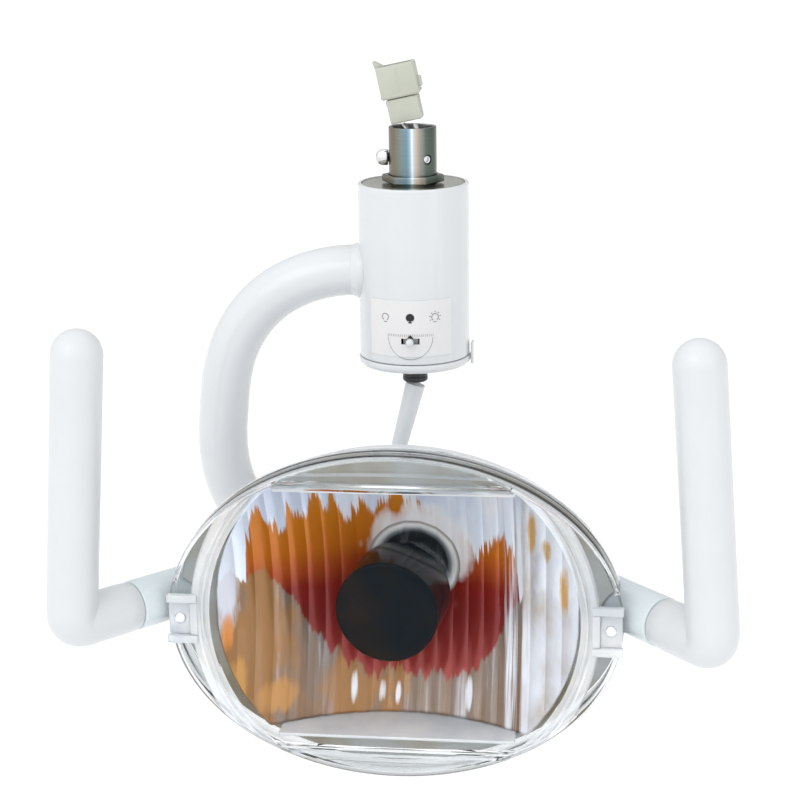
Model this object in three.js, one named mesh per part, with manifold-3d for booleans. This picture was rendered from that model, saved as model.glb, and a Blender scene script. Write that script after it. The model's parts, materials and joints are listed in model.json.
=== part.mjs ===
// Dental operating light: a swivel housing with a C-shaped arm, and a tilting reflector head.
// Millimetres, +Z up. The origin is the centre of the fixing collar's top face, and the light
// shines towards -Y. The head tilts about a line along X, behind the middle of the reflector.

import * as THREE from 'three';
import { mergeVertices } from 'three/addons/utils/BufferGeometryUtils.js';
import Module from 'manifold-3d';

const wasm = await Module();
wasm.setup();

// ---- driving dimensions ----

const GAP = 0.3;

const COLLAR_R = 13;
const COLLAR_BORE_R = 11;
const JOURNAL_R = 12.2;
const COLLAR_LENGTH = 30;
const JOURNAL_END_Z = -50;
const LOCKNUT_HEIGHT = 4;
const LOCKNUT_CORNER_R = 17;
const SCREW_Z = -17;

const HOUSING_R = 30.5;
const HOUSING_WALL = 2.2;
const HOUSING_TOP_Z = -30.4;
const HOUSING_SEAM_Z = -126;
const HOUSING_BASE_Z = -131;

const ARM_R = 14;
const ARM_BORE_R = 11;
const ARM_ROOT_Z = -79.5;
const ARM_END_X = -23;

const TILT_Z = -242;
const SPINDLE_R = 8;
const KNUCKLE_R = 17;
const KNUCKLE_HALF = 20;

const HEAD_A = 119;
const HEAD_B = 88.5;
const RIM_Y = -112;
const SKIRT_BACK_Y = -93;
const SHIELD_WALL = 2.3;
const WINDOW_HALF_HEIGHT = 72.5;
const WINDOW_R = 94.5;
const WINDOW_CENTRE_X = 5;
const WINDOW_CROWN = 8;

const REFLECTOR_R = 96;
const REFLECTOR_HALF_HEIGHT = 67;
const REFLECTOR_APEX_Y = -52;
const REFLECTOR_CURVE = 195;
const REFLECTOR_WALL = 1.6;
const FLUTE_COUNT = 22;
const FLUTE_DEPTH = 0.5;
const SHELF_HALF = 60;

const SHELL_A = HEAD_A - 2.5;
const SHELL_B = HEAD_B - 2.5;
const SHELL_RIM_Y = -92;
const SHELL_BACK_Y = -30;
const SHELL_WALL = 2.2;
const FRAME_THICKNESS = 2.2;

const CAP_R = 27.6;
const CAP_LENGTH = 35;
const CAP_FRONT_Y = -101.5;
const SLEEVE_R = 23.5;
const LAMP_YAW = THREE.MathUtils.degToRad(-6);

const GRIP_R = 13.3;
const HANDLE_Z = TILT_Z + 3;
const GRIP_CORNER = new THREE.Vector3(163.5, -138, HANDLE_Z);
const GRIP_TOP = new THREE.Vector3(153, -138, -96);
const ROOT_SEAM = new THREE.Vector3(139, -109.4, HANDLE_Z);
const ROOT_INNER = new THREE.Vector3(104, -68.7, HANDLE_Z);
const ROOT_SPIGOT_R = 10;
const ROOT_SPIGOT_LENGTH = 24;
const HANDLE_SCREW_X = 108;
const HANDLE_SCREW_Y = -58;

const INLET_X = -6;

const CABLE_R = 3.3;
const LEAD_R = 1.15;

// ---- materials ----

const paint = (color, roughness, metalness) =>
  () => new THREE.MeshStandardMaterial({ color, roughness, metalness });

const whitePaint = paint(0xeef0f2, 0.28, 0);
const whitePlastic = paint(0xe9edf0, 0.35, 0);
const bluePlastic = paint(0xdce8ec, 0.3, 0);
const steel = paint(0xb8bcc0, 0.32, 1);
const darkSteel = paint(0x6b7075, 0.4, 1);
const chrome = paint(0xdfe3e6, 0.12, 1);
const blackPlastic = paint(0x15171a, 0.3, 0);
const glossBlack = paint(0x0a0c10, 0.1, 0);
const nylon = paint(0xd8d8d2, 0.5, 0);
const clearPlastic = paint(0xe6ecf2, 0.08, 0);
const clearShield = () => new THREE.MeshStandardMaterial({
  color: 0xe6ecf2, roughness: 0.06, metalness: 0, transparent: true, opacity: 0.35,
});
const amberMirror = paint(0xb5691e, 0.15, 0.8);
const brownPlastic = paint(0x9a8468, 0.5, 0);
const ceramic = paint(0xf0ede4, 0.6, 0);
const copper = paint(0xb06a35, 0.4, 0.8);
const rubber = paint(0x202020, 0.8, 0);
const greenBoard = paint(0x2e6b45, 0.6, 0);
const greyLabel = paint(0xd5d8dc, 0.6, 0);
const yellowLead = paint(0xd6c02a, 0.5, 0);

// ---- geometry helpers ----

const light = new THREE.Group();
light.name = 'dental_light';

function addMesh(name, geometry, material) {
  const mesh = new THREE.Mesh(geometry, material());
  mesh.name = name;
  light.add(mesh);
}

// A geometry whose equal corners are shared, holding only positions.
function welded(geometry) {
  const copy = geometry.clone();
  copy.deleteAttribute('normal');
  copy.deleteAttribute('uv');
  return mergeVertices(copy, 1e-4);
}

function toSolid(geometry) {
  const shared = welded(geometry);
  const vertProperties = new Float32Array(shared.attributes.position.array);
  const triVerts = new Uint32Array(shared.index.array);
  return new wasm.Manifold(new wasm.Mesh({ numProp: 3, vertProperties, triVerts }));
}

function toGeometry(solid) {
  const mesh = solid.getMesh();
  const geometry = new THREE.BufferGeometry();
  const positions = new Float32Array(mesh.vertProperties);
  geometry.setAttribute('position', new THREE.BufferAttribute(positions, 3));
  geometry.setIndex(new THREE.BufferAttribute(new Uint32Array(mesh.triVerts), 1));
  return geometry;
}

function join(...geometries) {
  return toGeometry(geometries.map(toSolid).reduce((a, b) => a.add(b)));
}

function cut(base, ...tools) {
  return toGeometry(tools.map(toSolid).reduce((a, b) => a.subtract(b), toSolid(base)));
}

// A turned piece. Each profile point is [radius, height along +Z]. The profile is put in the order
// that faces outwards: up its outer side.
function turned(profile, segments = 24) {
  const points = profile.map(([r, z]) => new THREE.Vector2(r, z));
  if (THREE.ShapeUtils.area(points) < 0) points.reverse();
  return new THREE.LatheGeometry(points, segments).rotateX(Math.PI / 2);
}

// A turned ring or tube: its profile closes on itself.
function turnedRing(rOuter, rInner, zLow, zHigh, segments = 24) {
  return turned([
    [rInner, zLow], [rOuter, zLow], [rOuter, zHigh], [rInner, zHigh], [rInner, zLow],
  ], segments);
}

function turnedRod(r, zLow, zHigh, segments = 16) {
  return turned([[0, zLow], [r, zLow], [r, zHigh], [0, zHigh]], segments);
}

const alongX = (geometry) => geometry.rotateY(Math.PI / 2);
const alongY = (geometry) => geometry.rotateX(Math.PI / 2);

function box(x0, x1, y0, y1, z0, z1) {
  return new THREE.BoxGeometry(x1 - x0, y1 - y0, z1 - z0)
    .translate((x0 + x1) / 2, (y0 + y1) / 2, (z0 + z1) / 2);
}

// A turned piece whose own +Z is laid along the line from one point to another.
function rodBetween(from, to, profileMaker) {
  const direction = to.clone().sub(from);
  const turn = new THREE.Quaternion().setFromUnitVectors(
    new THREE.Vector3(0, 0, 1), direction.clone().normalize());
  return profileMaker(direction.length()).applyQuaternion(turn).translate(from.x, from.y, from.z);
}

// The corners of a regular polygon, anticlockwise.
function polygon(r, sides) {
  return Array.from({ length: sides }, (_, i) => {
    const a = (i / sides) * 2 * Math.PI;
    return new THREE.Vector2(r * Math.cos(a), r * Math.sin(a));
  });
}

function disc(r, sides, holeR = 0) {
  const shape = new THREE.Shape(polygon(r, sides));
  if (holeR > 0) shape.holes.push(new THREE.Path(polygon(holeR, sides / 2).reverse()));
  return shape;
}

function tubeAlong(points, r, steps, sides, holeR = 0) {
  const places = points.map((p) => new THREE.Vector3(...p));
  const extrudePath = new THREE.CatmullRomCurve3(places, false, 'centripetal');
  return new THREE.ExtrudeGeometry(disc(r, sides, holeR), { steps, extrudePath, bevelEnabled: false });
}

// A solid skinned over rings of equally many points. The first and last rings close on their centres.
function ringSolid(rings) {
  const count = rings[0].length;
  const positions = [];
  const index = [];
  const centres = [rings[0], rings[rings.length - 1]].map((ring) => {
    const centre = new THREE.Vector3();
    ring.forEach((p) => centre.add(p));
    return centre.divideScalar(count);
  });
  rings.flat().forEach((p) => positions.push(p.x, p.y, p.z));
  centres.forEach((p) => positions.push(p.x, p.y, p.z));
  const first = rings.length * count;
  const last = (rings.length - 1) * count;
  for (let j = 0; j < count; j += 1) {
    const k = (j + 1) % count;
    index.push(first, k, j);
    index.push(first + 1, last + j, last + k);
    for (let i = 0; i + 1 < rings.length; i += 1) {
      const a = i * count;
      const b = a + count;
      index.push(a + j, a + k, b + k, a + j, b + k, b + j);
    }
  }
  const geometry = new THREE.BufferGeometry();
  geometry.setAttribute('position', new THREE.Float32BufferAttribute(positions, 3));
  geometry.setIndex(index);
  return geometry;
}

// A sheet with a front and a back face over a grid: surface(i, j) gives [front, back] points.
function sheetSolid(columns, rows, surface) {
  const positions = [];
  const index = [];
  const id = (i, j, side) => (i * (rows + 1) + j) * 2 + side;
  for (let i = 0; i <= columns; i += 1) {
    for (let j = 0; j <= rows; j += 1) {
      surface(i, j).forEach((p) => positions.push(p.x, p.y, p.z));
    }
  }
  const quad = (a, b, c, d) => index.push(a, b, c, a, c, d);
  for (let i = 0; i < columns; i += 1) {
    for (let j = 0; j < rows; j += 1) {
      quad(id(i, j, 0), id(i + 1, j, 0), id(i + 1, j + 1, 0), id(i, j + 1, 0));
      quad(id(i, j, 1), id(i, j + 1, 1), id(i + 1, j + 1, 1), id(i + 1, j, 1));
    }
    quad(id(i, 0, 0), id(i, 0, 1), id(i + 1, 0, 1), id(i + 1, 0, 0));
    quad(id(i, rows, 0), id(i + 1, rows, 0), id(i + 1, rows, 1), id(i, rows, 1));
  }
  for (let j = 0; j < rows; j += 1) {
    quad(id(0, j, 0), id(0, j + 1, 0), id(0, j + 1, 1), id(0, j, 1));
    quad(id(columns, j, 0), id(columns, j, 1), id(columns, j + 1, 1), id(columns, j + 1, 0));
  }
  const geometry = new THREE.BufferGeometry();
  geometry.setAttribute('position', new THREE.Float32BufferAttribute(positions, 3));
  geometry.setIndex(index);
  return geometry;
}

// One closed ring of points at depth y, from a radius for each direction around the head's middle.
function headRing(count, y, radiusAt) {
  return Array.from({ length: count }, (_, j) => {
    const a = (j / count) * 2 * Math.PI;
    const [r, depth] = [radiusAt(a), typeof y === 'function' ? y(a) : y];
    return new THREE.Vector3(r * Math.cos(a), depth, TILT_Z + r * Math.sin(a));
  });
}

const ellipseRadius = (a, b) => (angle) =>
  (a * b) / Math.hypot(b * Math.cos(angle), a * Math.sin(angle));

// The window's outline: flat top and bottom, and sides that are arcs.
function windowRadius(angle) {
  const c = Math.abs(Math.cos(angle));
  const s = Math.abs(Math.sin(angle));
  const toArc = WINDOW_CENTRE_X * c + Math.sqrt(WINDOW_R ** 2 - (WINDOW_CENTRE_X * s) ** 2);
  return s > 0 ? Math.min(toArc, WINDOW_HALF_HEIGHT / s) : toArc;
}

const crownAt = (r) => RIM_Y - WINDOW_CROWN * (1 - (r / (WINDOW_R + WINDOW_CENTRE_X)) ** 2);

// ---- fixing end ----

function makeFixingEnd() {
  const radial = (angle, r, from, to) =>
    alongX(turnedRod(r, from, to, 12)).rotateZ(angle).translate(0, 0, SCREW_Z);
  const collarBody = turned([
    [COLLAR_BORE_R, JOURNAL_END_Z], [JOURNAL_R, JOURNAL_END_Z], [JOURNAL_R, -COLLAR_LENGTH],
    [COLLAR_R, -COLLAR_LENGTH], [COLLAR_R, -0.8], [COLLAR_R - 0.8, 0],
    [COLLAR_BORE_R, 0], [COLLAR_BORE_R, JOURNAL_END_Z],
  ], 28);
  const setScrewAngle = -Math.PI / 4;
  const domeScrewHole = radial(Math.PI, 2.3, 8, 16);
  const setScrewHole = radial(setScrewAngle, 2.6, 8, 16);
  addMesh('mount_collar', cut(collarBody, domeScrewHole, setScrewHole), steel);

  const hexagon = disc(LOCKNUT_CORNER_R, 6);
  const hexNut = new THREE.ExtrudeGeometry(hexagon, { depth: LOCKNUT_HEIGHT, bevelEnabled: false })
    .translate(0, 0, -COLLAR_LENGTH);
  addMesh('collar_locknut', cut(hexNut, turnedRod(COLLAR_R + GAP, -COLLAR_LENGTH - 1, 0, 28)), steel);

  const domeScrew = turned([
    [0, 10.4], [2, 10.4], [2, 13.4], [4.5, 13.4], [4.5, 16.6], [3.6, 19], [1.8, 20.2], [0, 20.5],
  ], 14);
  addMesh('retaining_screw', alongX(domeScrew).rotateZ(Math.PI).translate(0, 0, SCREW_Z), chrome);
  const setScrew = turned([[0, 9.5], [2.3, 9.5], [2.3, 12.6], [1.2, 12.6], [1.2, 11.2], [0, 11.2]], 12);
  addMesh('set_screw', alongX(setScrew).rotateZ(setScrewAngle).translate(0, 0, SCREW_Z), chrome);

  const retainer = turnedRing(17.5, JOURNAL_R + GAP, -44.2, -42.2, 24);
  const retainerSlot = box(0, 20, -1.6, 1.6, -46, -40);
  addMesh('swivel_retaining_ring', cut(retainer, retainerSlot), darkSteel);
  const plug = turned([[0, -49], [COLLAR_BORE_R - GAP, -49], [COLLAR_BORE_R - GAP, -42], [0, -42]], 24);
  const leadHole = (x) => turnedRod(1.5, -60, -30, 8).translate(x, 0, 0);
  addMesh('lead_grommet', cut(plug, leadHole(-3.4), leadHole(3.4)), rubber);
}

function makeConnector() {
  const lean = THREE.MathUtils.degToRad(-12);
  const place = (geometry) => geometry.rotateY(lean).translate(-2.5, 0, 3);
  const lower = cut(box(-8.6, 8.6, -6, 6, 0, 13), box(-7, 7, -4.4, 4.4, 1.6, 11.4).translate(0, 4, 0));
  addMesh('connector_plug', place(lower), nylon);
  const cavity = box(-8.6, 8.6, -5.2, 5.2, 17.4, 32);
  const upper = cut(
    join(box(-10.6, 10.2, -7, 7, 13.4, 31), box(10, 12, -3, 3, 17, 22), box(-11.8, -9.8, -3, 3, 26, 35)),
    cavity,
  );
  addMesh('connector_socket', place(upper), nylon);
  [-1, 1].forEach((side) => {
    const blade = box(-1.5, 1.5, -0.5, 0.5, 17.8, 27).translate(side * 4, 0, 0);
    addMesh(side < 0 ? 'contact_blade_left' : 'contact_blade_right', place(blade), darkSteel);
    const path = [
      [side * 3.4, 0, -48.8], [side * 3.4, 0, -34], [side * 3.2 + 1, -1, -14],
      [side * 2.6 + 0.4, -2, -4], [side * 3.2 - 1.9, -1, 1.2],
    ];
    const [name, material] = side < 0 ? ['lead_yellow', yellowLead] : ['lead_black', blackPlastic];
    addMesh(name, tubeAlong(path, LEAD_R, 16, 8), material);
  });
}

// ---- swivel housing ----

function makeHousing() {
  const inner = HOUSING_R - HOUSING_WALL;
  const plate = turned([
    [JOURNAL_R + GAP, HOUSING_TOP_Z - 5], [inner - GAP, HOUSING_TOP_Z - 5], [inner - GAP, HOUSING_TOP_Z],
    [JOURNAL_R + GAP, HOUSING_TOP_Z], [JOURNAL_R + GAP, HOUSING_TOP_Z - 5],
  ], 28);
  addMesh('top_plate', plate, steel);
  addMesh('swivel_washer', turnedRing(19, JOURNAL_R + GAP, -41.9, HOUSING_TOP_Z - 5.3, 24), nylon);

  const shell = turned([
    [inner, HOUSING_SEAM_Z], [HOUSING_R, HOUSING_SEAM_Z], [HOUSING_R, HOUSING_TOP_Z - 1.8],
    [HOUSING_R - 0.6, HOUSING_TOP_Z - 0.5], [HOUSING_R - 1.8, HOUSING_TOP_Z],
    [inner, HOUSING_TOP_Z], [inner, HOUSING_SEAM_Z],
  ], 36);
  const armHole = alongX(turnedRod(ARM_R + GAP, -40, -10, 24)).translate(0, 0, ARM_ROOT_Z);
  const switchHole = box(-9, 9, -40, -20, -119, -106);
  addMesh('housing_shell', cut(shell, armHole, switchHole), whitePaint);

  const lip = inner - GAP;
  const baseBody = turned([
    [8.4, HOUSING_BASE_Z], [HOUSING_R - 1, HOUSING_BASE_Z], [HOUSING_R + 0.6, HOUSING_BASE_Z + 1.6],
    [HOUSING_R + 0.6, HOUSING_SEAM_Z - GAP], [lip, HOUSING_SEAM_Z - GAP], [lip, HOUSING_SEAM_Z + 4],
    [lip - 2, HOUSING_SEAM_Z + 4], [lip - 2, HOUSING_SEAM_Z - 2],
    [8.4, HOUSING_SEAM_Z - 2], [8.4, HOUSING_BASE_Z],
  ], 32);
  const screwPlaces = [0.5, 2.6, 4.7];
  const screwHole = (a) => turnedRod(2.2, HOUSING_BASE_Z - 5, HOUSING_SEAM_Z + 5, 10)
    .translate(19 * Math.cos(a), 19 * Math.sin(a), 0);
  addMesh('base_cap', cut(baseBody, ...screwPlaces.map(screwHole)), whitePaint);
  screwPlaces.forEach((a, i) => {
    const screw = turned([[0, -133.4], [2.6, -133], [3.4, -131.6], [3.4, HOUSING_BASE_Z - GAP],
      [1.8, HOUSING_BASE_Z - GAP], [1.8, -122.6], [0, -122.6]], 10);
    addMesh(`base_screw_${i + 1}`, screw.translate(19 * Math.cos(a), 19 * Math.sin(a), 0), chrome);
  });
  const catchTab = box(HOUSING_R + 0.9, HOUSING_R + 2.4, -4, 4, HOUSING_BASE_Z, HOUSING_BASE_Z + 12);
  addMesh('base_catch', catchTab, whitePaint);

  const gland = turned([
    [4.6, -142], [6.2, -142], [7, -141], [7, HOUSING_BASE_Z - GAP], [7.9, HOUSING_BASE_Z - GAP],
    [7.9, -125], [4.6, -125], [4.6, -142],
  ], 20);
  addMesh('cable_gland', gland, blackPlastic);
}

function makeSwitch() {
  const half = THREE.MathUtils.degToRad(46);
  const centre = -Math.PI / 2 + THREE.MathUtils.degToRad(2);
  const [zLow, zHigh] = [-121, -90];
  const plateR = HOUSING_R + GAP;
  const arc = new THREE.Shape();
  arc.absarc(0, 0, plateR + 0.5, centre - half, centre + half, false);
  arc.absarc(0, 0, plateR, centre + half, centre - half, true);
  arc.closePath();
  const depth = zHigh - zLow;
  const plate = new THREE.ExtrudeGeometry(arc, { depth, curveSegments: 16, bevelEnabled: false })
    .translate(0, 0, zLow);
  const slot = box(-7.5, 7.5, -40, -20, -116.6, -108.6).rotateZ(0.035);
  addMesh('label_plate', cut(plate, slot), greyLabel);

  const body = box(-10, 10, -21.5, -8, -121, -102);
  const pocket = turnedRod(7, -115.8, -109.2, 16).translate(1, -21.2, 0);
  addMesh('switch_body', cut(body, pocket), blackPlastic);
  const lever = turned([
    [0, 15], [2.2, 16], [2.2, 18.4], [1.5, 19.4], [1.5, 25], [2.1, 31], [2.1, 34.6], [1.5, 35.6], [0, 36],
  ], 12);
  addMesh('toggle_lever', alongY(lever).translate(1.1, 0, -112.5), whitePlastic);
}

function makeHousingInsides() {
  const centreX = 2;
  const coreOuter = box(-20, 20, -9, 9, -74, -53);
  const coreWindow = (side) => box(side * 10 - 4.5, side * 10 + 4.5, -12, 12, -69, -58);
  const core = cut(coreOuter, coreWindow(-1), coreWindow(1));
  addMesh('transformer_core', core.translate(centreX, 0, 0), darkSteel);
  const limb = box(-5.5 - GAP, 5.5 + GAP, -9 - GAP, 9 + GAP, -72, -55);
  const coil = cut(box(-14, 14, -13, 13, -68.6, -58.4), limb);
  addMesh('transformer_coil', coil.translate(centreX, 0, 0), copper);
  const bead = alongX(turned([
    [ARM_R + GAP, -33.5], [ARM_R + 0.8, -33], [ARM_R + 2.2, -30], [ARM_R + 2.2, -20],
    [ARM_R + GAP, -20], [ARM_R + GAP, -33.5],
  ], 24)).translate(0, 0, ARM_ROOT_Z);
  addMesh('arm_root_bead', cut(bead, turnedRod(HOUSING_R + GAP, -110, -50, 36)), whitePaint);
  const wireHoles = [5.5, 10.5, 15.5, 20.5].map((x) => turnedRod(1.5, -84, -70, 8).translate(x, -3, 0));
  addMesh('terminal_block', cut(box(2, 24, -8, 2, -92, -78), ...wireHoles), nylon);
  addMesh('circuit_board', box(-17, 17, 11, 12.6, -119, -74), greenBoard);
  addMesh('board_capacitor', turnedRod(5, -112, -96, 14).translate(6, 17.9, 0), blackPlastic);
}

// ---- arm and tilt joint ----

const ARM_POINTS = [
  [ARM_END_X, 0, ARM_ROOT_Z], [-38, 0, -79.8], [-50, 0, -81.6], [-64, 0, -86], [-79, 0, -94.3],
  [-90.4, 0, -105], [-98.4, 0, -116.5], [-104, 0, -129], [-107.4, 0, -143], [-109.4, 0, -160], [-110.6, 0, -176],
  [-109.6, 0, -192], [-105.5, 0, -207], [-97, 0, -222], [-84, 0, -234.5], [-68, 0, -241.5],
  [-52, 0, TILT_Z], [-36, 0, TILT_Z], [ARM_END_X, 0, TILT_Z],
];

function makeArm() {
  addMesh('c_arm', tubeAlong(ARM_POINTS, ARM_R, 28, 16, ARM_BORE_R), whitePaint);
  const spindle = turned([
    [0, -44], [SPINDLE_R + 1, -44], [SPINDLE_R + 1, -23], [SPINDLE_R, -23], [SPINDLE_R, 22],
    [5, 22], [5, 30], [0, 30],
  ], 20);
  addMesh('tilt_spindle', alongX(spindle).translate(0, 0, TILT_Z), steel);
  const endCap = turnedRing(ARM_R + 1.2, SPINDLE_R + GAP, ARM_END_X + GAP, ARM_END_X + 2.2, 20);
  addMesh('arm_end_cap', alongX(endCap).translate(0, 0, TILT_Z), whitePlastic);
  const washer = turnedRing(13, 5 + GAP, 22.3, 23.6, 20);
  addMesh('friction_washer', alongX(washer).translate(0, 0, TILT_Z), darkSteel);
  const nut = cut(
    new THREE.ExtrudeGeometry(disc(9.2, 6), { depth: 5, bevelEnabled: false }).translate(0, 0, 24),
    turnedRod(5 + GAP, 20, 34, 16),
  );
  addMesh('spindle_nut', alongX(nut).translate(0, 0, TILT_Z), steel);
}

// ---- head ----

function headNotches(grow) {
  const notch = (side) => rodBetween(
    new THREE.Vector3(side * ROOT_INNER.x, ROOT_INNER.y, HANDLE_Z),
    new THREE.Vector3(side * GRIP_CORNER.x, GRIP_CORNER.y, HANDLE_Z),
    (length) => turnedRod(GRIP_R + grow, 0, length, 24),
  );
  return [notch(-1), notch(1)];
}

function makeBackShell() {
  const count = 36;
  const station = (scaleA, scaleB, y, inset = 0) =>
    headRing(count, y, ellipseRadius(SHELL_A * scaleA - inset, SHELL_B * scaleB - inset));
  const outer = [
    [0.25, 0.3, SHELL_BACK_Y], [0.42, 0.48, SHELL_BACK_Y - 1.5], [0.62, 0.68, SHELL_BACK_Y - 8.5],
    [0.82, 0.86, SHELL_BACK_Y - 22], [0.95, 0.97, SHELL_BACK_Y - 41], [1, 1, SHELL_RIM_Y],
  ];
  const rings = [
    ...outer.map(([a, b, y]) => station(a, b, y)),
    ...outer.slice().reverse().map(([a, b, y], i) =>
      station(a, b, y === SHELL_RIM_Y ? y : y - SHELL_WALL * (i > 3 ? 1 : 0.4), SHELL_WALL)),
  ];
  const slots = [];
  [-1, 1].forEach((side) => {
    for (let i = 0; i < 3; i += 1) {
      const x = side * (36 + i * 12);
      slots.push(box(x - 1.6, x + 1.6, -66, -20, TILT_Z + 12, TILT_Z + 44));
    }
  });
  const screwHoles = [-1, 1].map((side) =>
    alongY(turnedRod(5.4, 40, -HANDLE_SCREW_Y + 10, 16)).translate(side * HANDLE_SCREW_X, 0, HANDLE_Z));
  const neckHole = alongY(turnedRod(13, 10, 60, 24)).translate(0, 0, TILT_Z);
  const cuts = [...slots, ...screwHoles, neckHole, ...headNotches(1.4)];
  addMesh('back_shell', cut(ringSolid(rings), ...cuts), whitePlastic);
}

function makeKnuckle() {
  const barrel = alongX(turnedRod(KNUCKLE_R, -KNUCKLE_HALF, KNUCKLE_HALF, 28));
  const flangeY = -SHELL_BACK_Y + SHELL_WALL + 1;
  const neck = alongY(turnedRod(12.6, 8, flangeY + 1.2, 24));
  const flange = alongY(turnedRod(22, flangeY, flangeY + 2.4, 28));
  const bore = alongX(turnedRod(SPINDLE_R + GAP, -40, 40, 20));
  const inletHole = turnedRod(4.8, 12, 30, 16).translate(INLET_X, 0, 0);
  const knuckle = cut(join(barrel, neck, flange), bore, inletHole);
  addMesh('tilt_knuckle', knuckle.translate(0, 0, TILT_Z), whitePlastic);
  const inlet = turned([
    [CABLE_R + 0.5, 13], [4.5, 13], [4.5, KNUCKLE_R + 0.4], [6.6, KNUCKLE_R + 0.4], [6.2, 19], [4.8, 21.5],
    [CABLE_R + 0.5, 21.5], [CABLE_R + 0.5, 13],
  ], 16);
  addMesh('cable_inlet', inlet.translate(INLET_X, 0, TILT_Z), rubber);
  const cap = turned([
    [0, 36], [KNUCKLE_R - 3, 36], [KNUCKLE_R, 33], [KNUCKLE_R, KNUCKLE_HALF + GAP],
    [KNUCKLE_R - 2, KNUCKLE_HALF + GAP], [KNUCKLE_R - 2, 32], [KNUCKLE_R - 4, 34], [0, 34],
  ], 24);
  addMesh('knuckle_cap', alongX(cap).translate(0, 0, TILT_Z), whitePlastic);
}

function reflectorY(x, z) {
  return REFLECTOR_APEX_Y - (x * x + z * z) / REFLECTOR_CURVE;
}

// The lamp's pieces turn about the reflector's apex, and their profiles measure forwards from it.
const onLampAxis = (geometry) => geometry.rotateZ(LAMP_YAW).translate(0, REFLECTOR_APEX_Y, TILT_Z);

function makeReflector() {
  const columns = FLUTE_COUNT * 2;
  const rows = 5;
  const halfWidth = REFLECTOR_R - 0.4;
  const dish = sheetSolid(columns, rows, (i, j) => {
    const x = -halfWidth + (2 * halfWidth * i) / columns;
    const reach = Math.min(REFLECTOR_HALF_HEIGHT, Math.sqrt(REFLECTOR_R ** 2 - x * x));
    const z = -reach + (2 * reach * j) / rows;
    const flute = i % 2 ? FLUTE_DEPTH : 0;
    const y = reflectorY(x, z);
    return [y - flute, y + REFLECTOR_WALL].map((depth) => new THREE.Vector3(x, depth, TILT_Z + z));
  });
  const lampHole = onLampAxis(alongY(turnedRod(SLEEVE_R + 2.6, -30, 30, 24)));
  addMesh('reflector', cut(dish, lampHole), amberMirror);

  const holeR = REFLECTOR_R - 2.7;
  const holeCorner = Math.asin((REFLECTOR_HALF_HEIGHT + 2.6) / holeR);
  const plate = new THREE.Shape();
  plate.absellipse(0, 0, HEAD_A - SHIELD_WALL - 0.6, HEAD_B - SHIELD_WALL - 0.6, 0, 2 * Math.PI, false, 0);
  const plateHole = new THREE.Path();
  plateHole.absarc(0, 0, holeR, -holeCorner, holeCorner, false);
  plateHole.absarc(0, 0, holeR, Math.PI - holeCorner, Math.PI + holeCorner, false);
  plateHole.closePath();
  plate.holes.push(plateHole);
  const framePlate = new THREE.ExtrudeGeometry(
    plate, { depth: FRAME_THICKNESS, curveSegments: 20, bevelEnabled: false })
    .rotateX(Math.PI / 2).translate(0, SHELL_RIM_Y - GAP, TILT_Z);
  addMesh('reflector_frame', cut(framePlate, ...headNotches(1.4)), brownPlastic);

  [-1, 1].forEach((side) => {
    const shape = new THREE.Shape();
    const frontY = RIM_Y + SHIELD_WALL + 2;
    shape.moveTo(SHELF_HALF, frontY);
    for (let i = 10; i >= 0; i -= 1) {
      const x = -SHELF_HALF + (2 * SHELF_HALF * i) / 10;
      shape.lineTo(x, reflectorY(x, REFLECTOR_HALF_HEIGHT) + 3);
    }
    shape.lineTo(-SHELF_HALF, frontY);
    shape.closePath();
    const shelf = new THREE.ExtrudeGeometry(shape, { depth: 1.7, bevelEnabled: false });
    const z = side > 0 ? REFLECTOR_HALF_HEIGHT + GAP : -REFLECTOR_HALF_HEIGHT - GAP - 1.7;
    addMesh(side > 0 ? 'upper_shelf' : 'lower_shelf', shelf.translate(0, 0, TILT_Z + z), clearPlastic);
  });
}

function makeLamp() {
  const capFront = REFLECTOR_APEX_Y - CAP_FRONT_Y;
  const capBack = capFront - CAP_LENGTH;
  const sleeve = turned([
    [20.5, -11], [SLEEVE_R, -11], [SLEEVE_R, 4], [SLEEVE_R - 1, 6], [20.5, 6], [20.5, -11],
  ], 28);
  addMesh('lamp_sleeve', onLampAxis(alongY(sleeve)), chrome);
  const cap = turned([
    [0, capFront], [CAP_R - 1, capFront], [CAP_R, capFront - 1], [CAP_R, capBack],
    [CAP_R - 2, capBack], [CAP_R - 2, capFront - 3], [0, capFront - 3],
  ], 32);
  addMesh('bulb_cap', onLampAxis(alongY(cap)), glossBlack);
  [0, 1, 2].forEach((i) => {
    const a = Math.PI / 2 + (i * 2 * Math.PI) / 3;
    const post = box(23.9, 25.2, -capFront + 6, 0, -1.7, 1.7).rotateY(-a);
    addMesh(`cap_stay_${i + 1}`, onLampAxis(post), chrome);
  });
  const socketBlock = cut(alongY(turnedRod(13, -12, 1, 20)), box(-3.4, 3.4, -5, 4, -1.6, 1.6));
  addMesh('lamp_socket', onLampAxis(socketBlock), ceramic);
  const bulb = turned([
    [0, 1.4], [5, 3], [6, 7], [6, 25], [4.2, 30], [1.2, 32.6], [0, 33],
  ], 14);
  addMesh('halogen_bulb', onLampAxis(alongY(bulb)), clearPlastic);
  const bracket = join(
    box(-34, 34, 14.2, 15.8, -9, 9), box(-34, -30, -2.6, 15.8, -9, 9), box(30, 34, -2.6, 15.8, -9, 9));
  addMesh('socket_bracket', bracket.translate(0, REFLECTOR_APEX_Y, TILT_Z), darkSteel);
}

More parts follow.
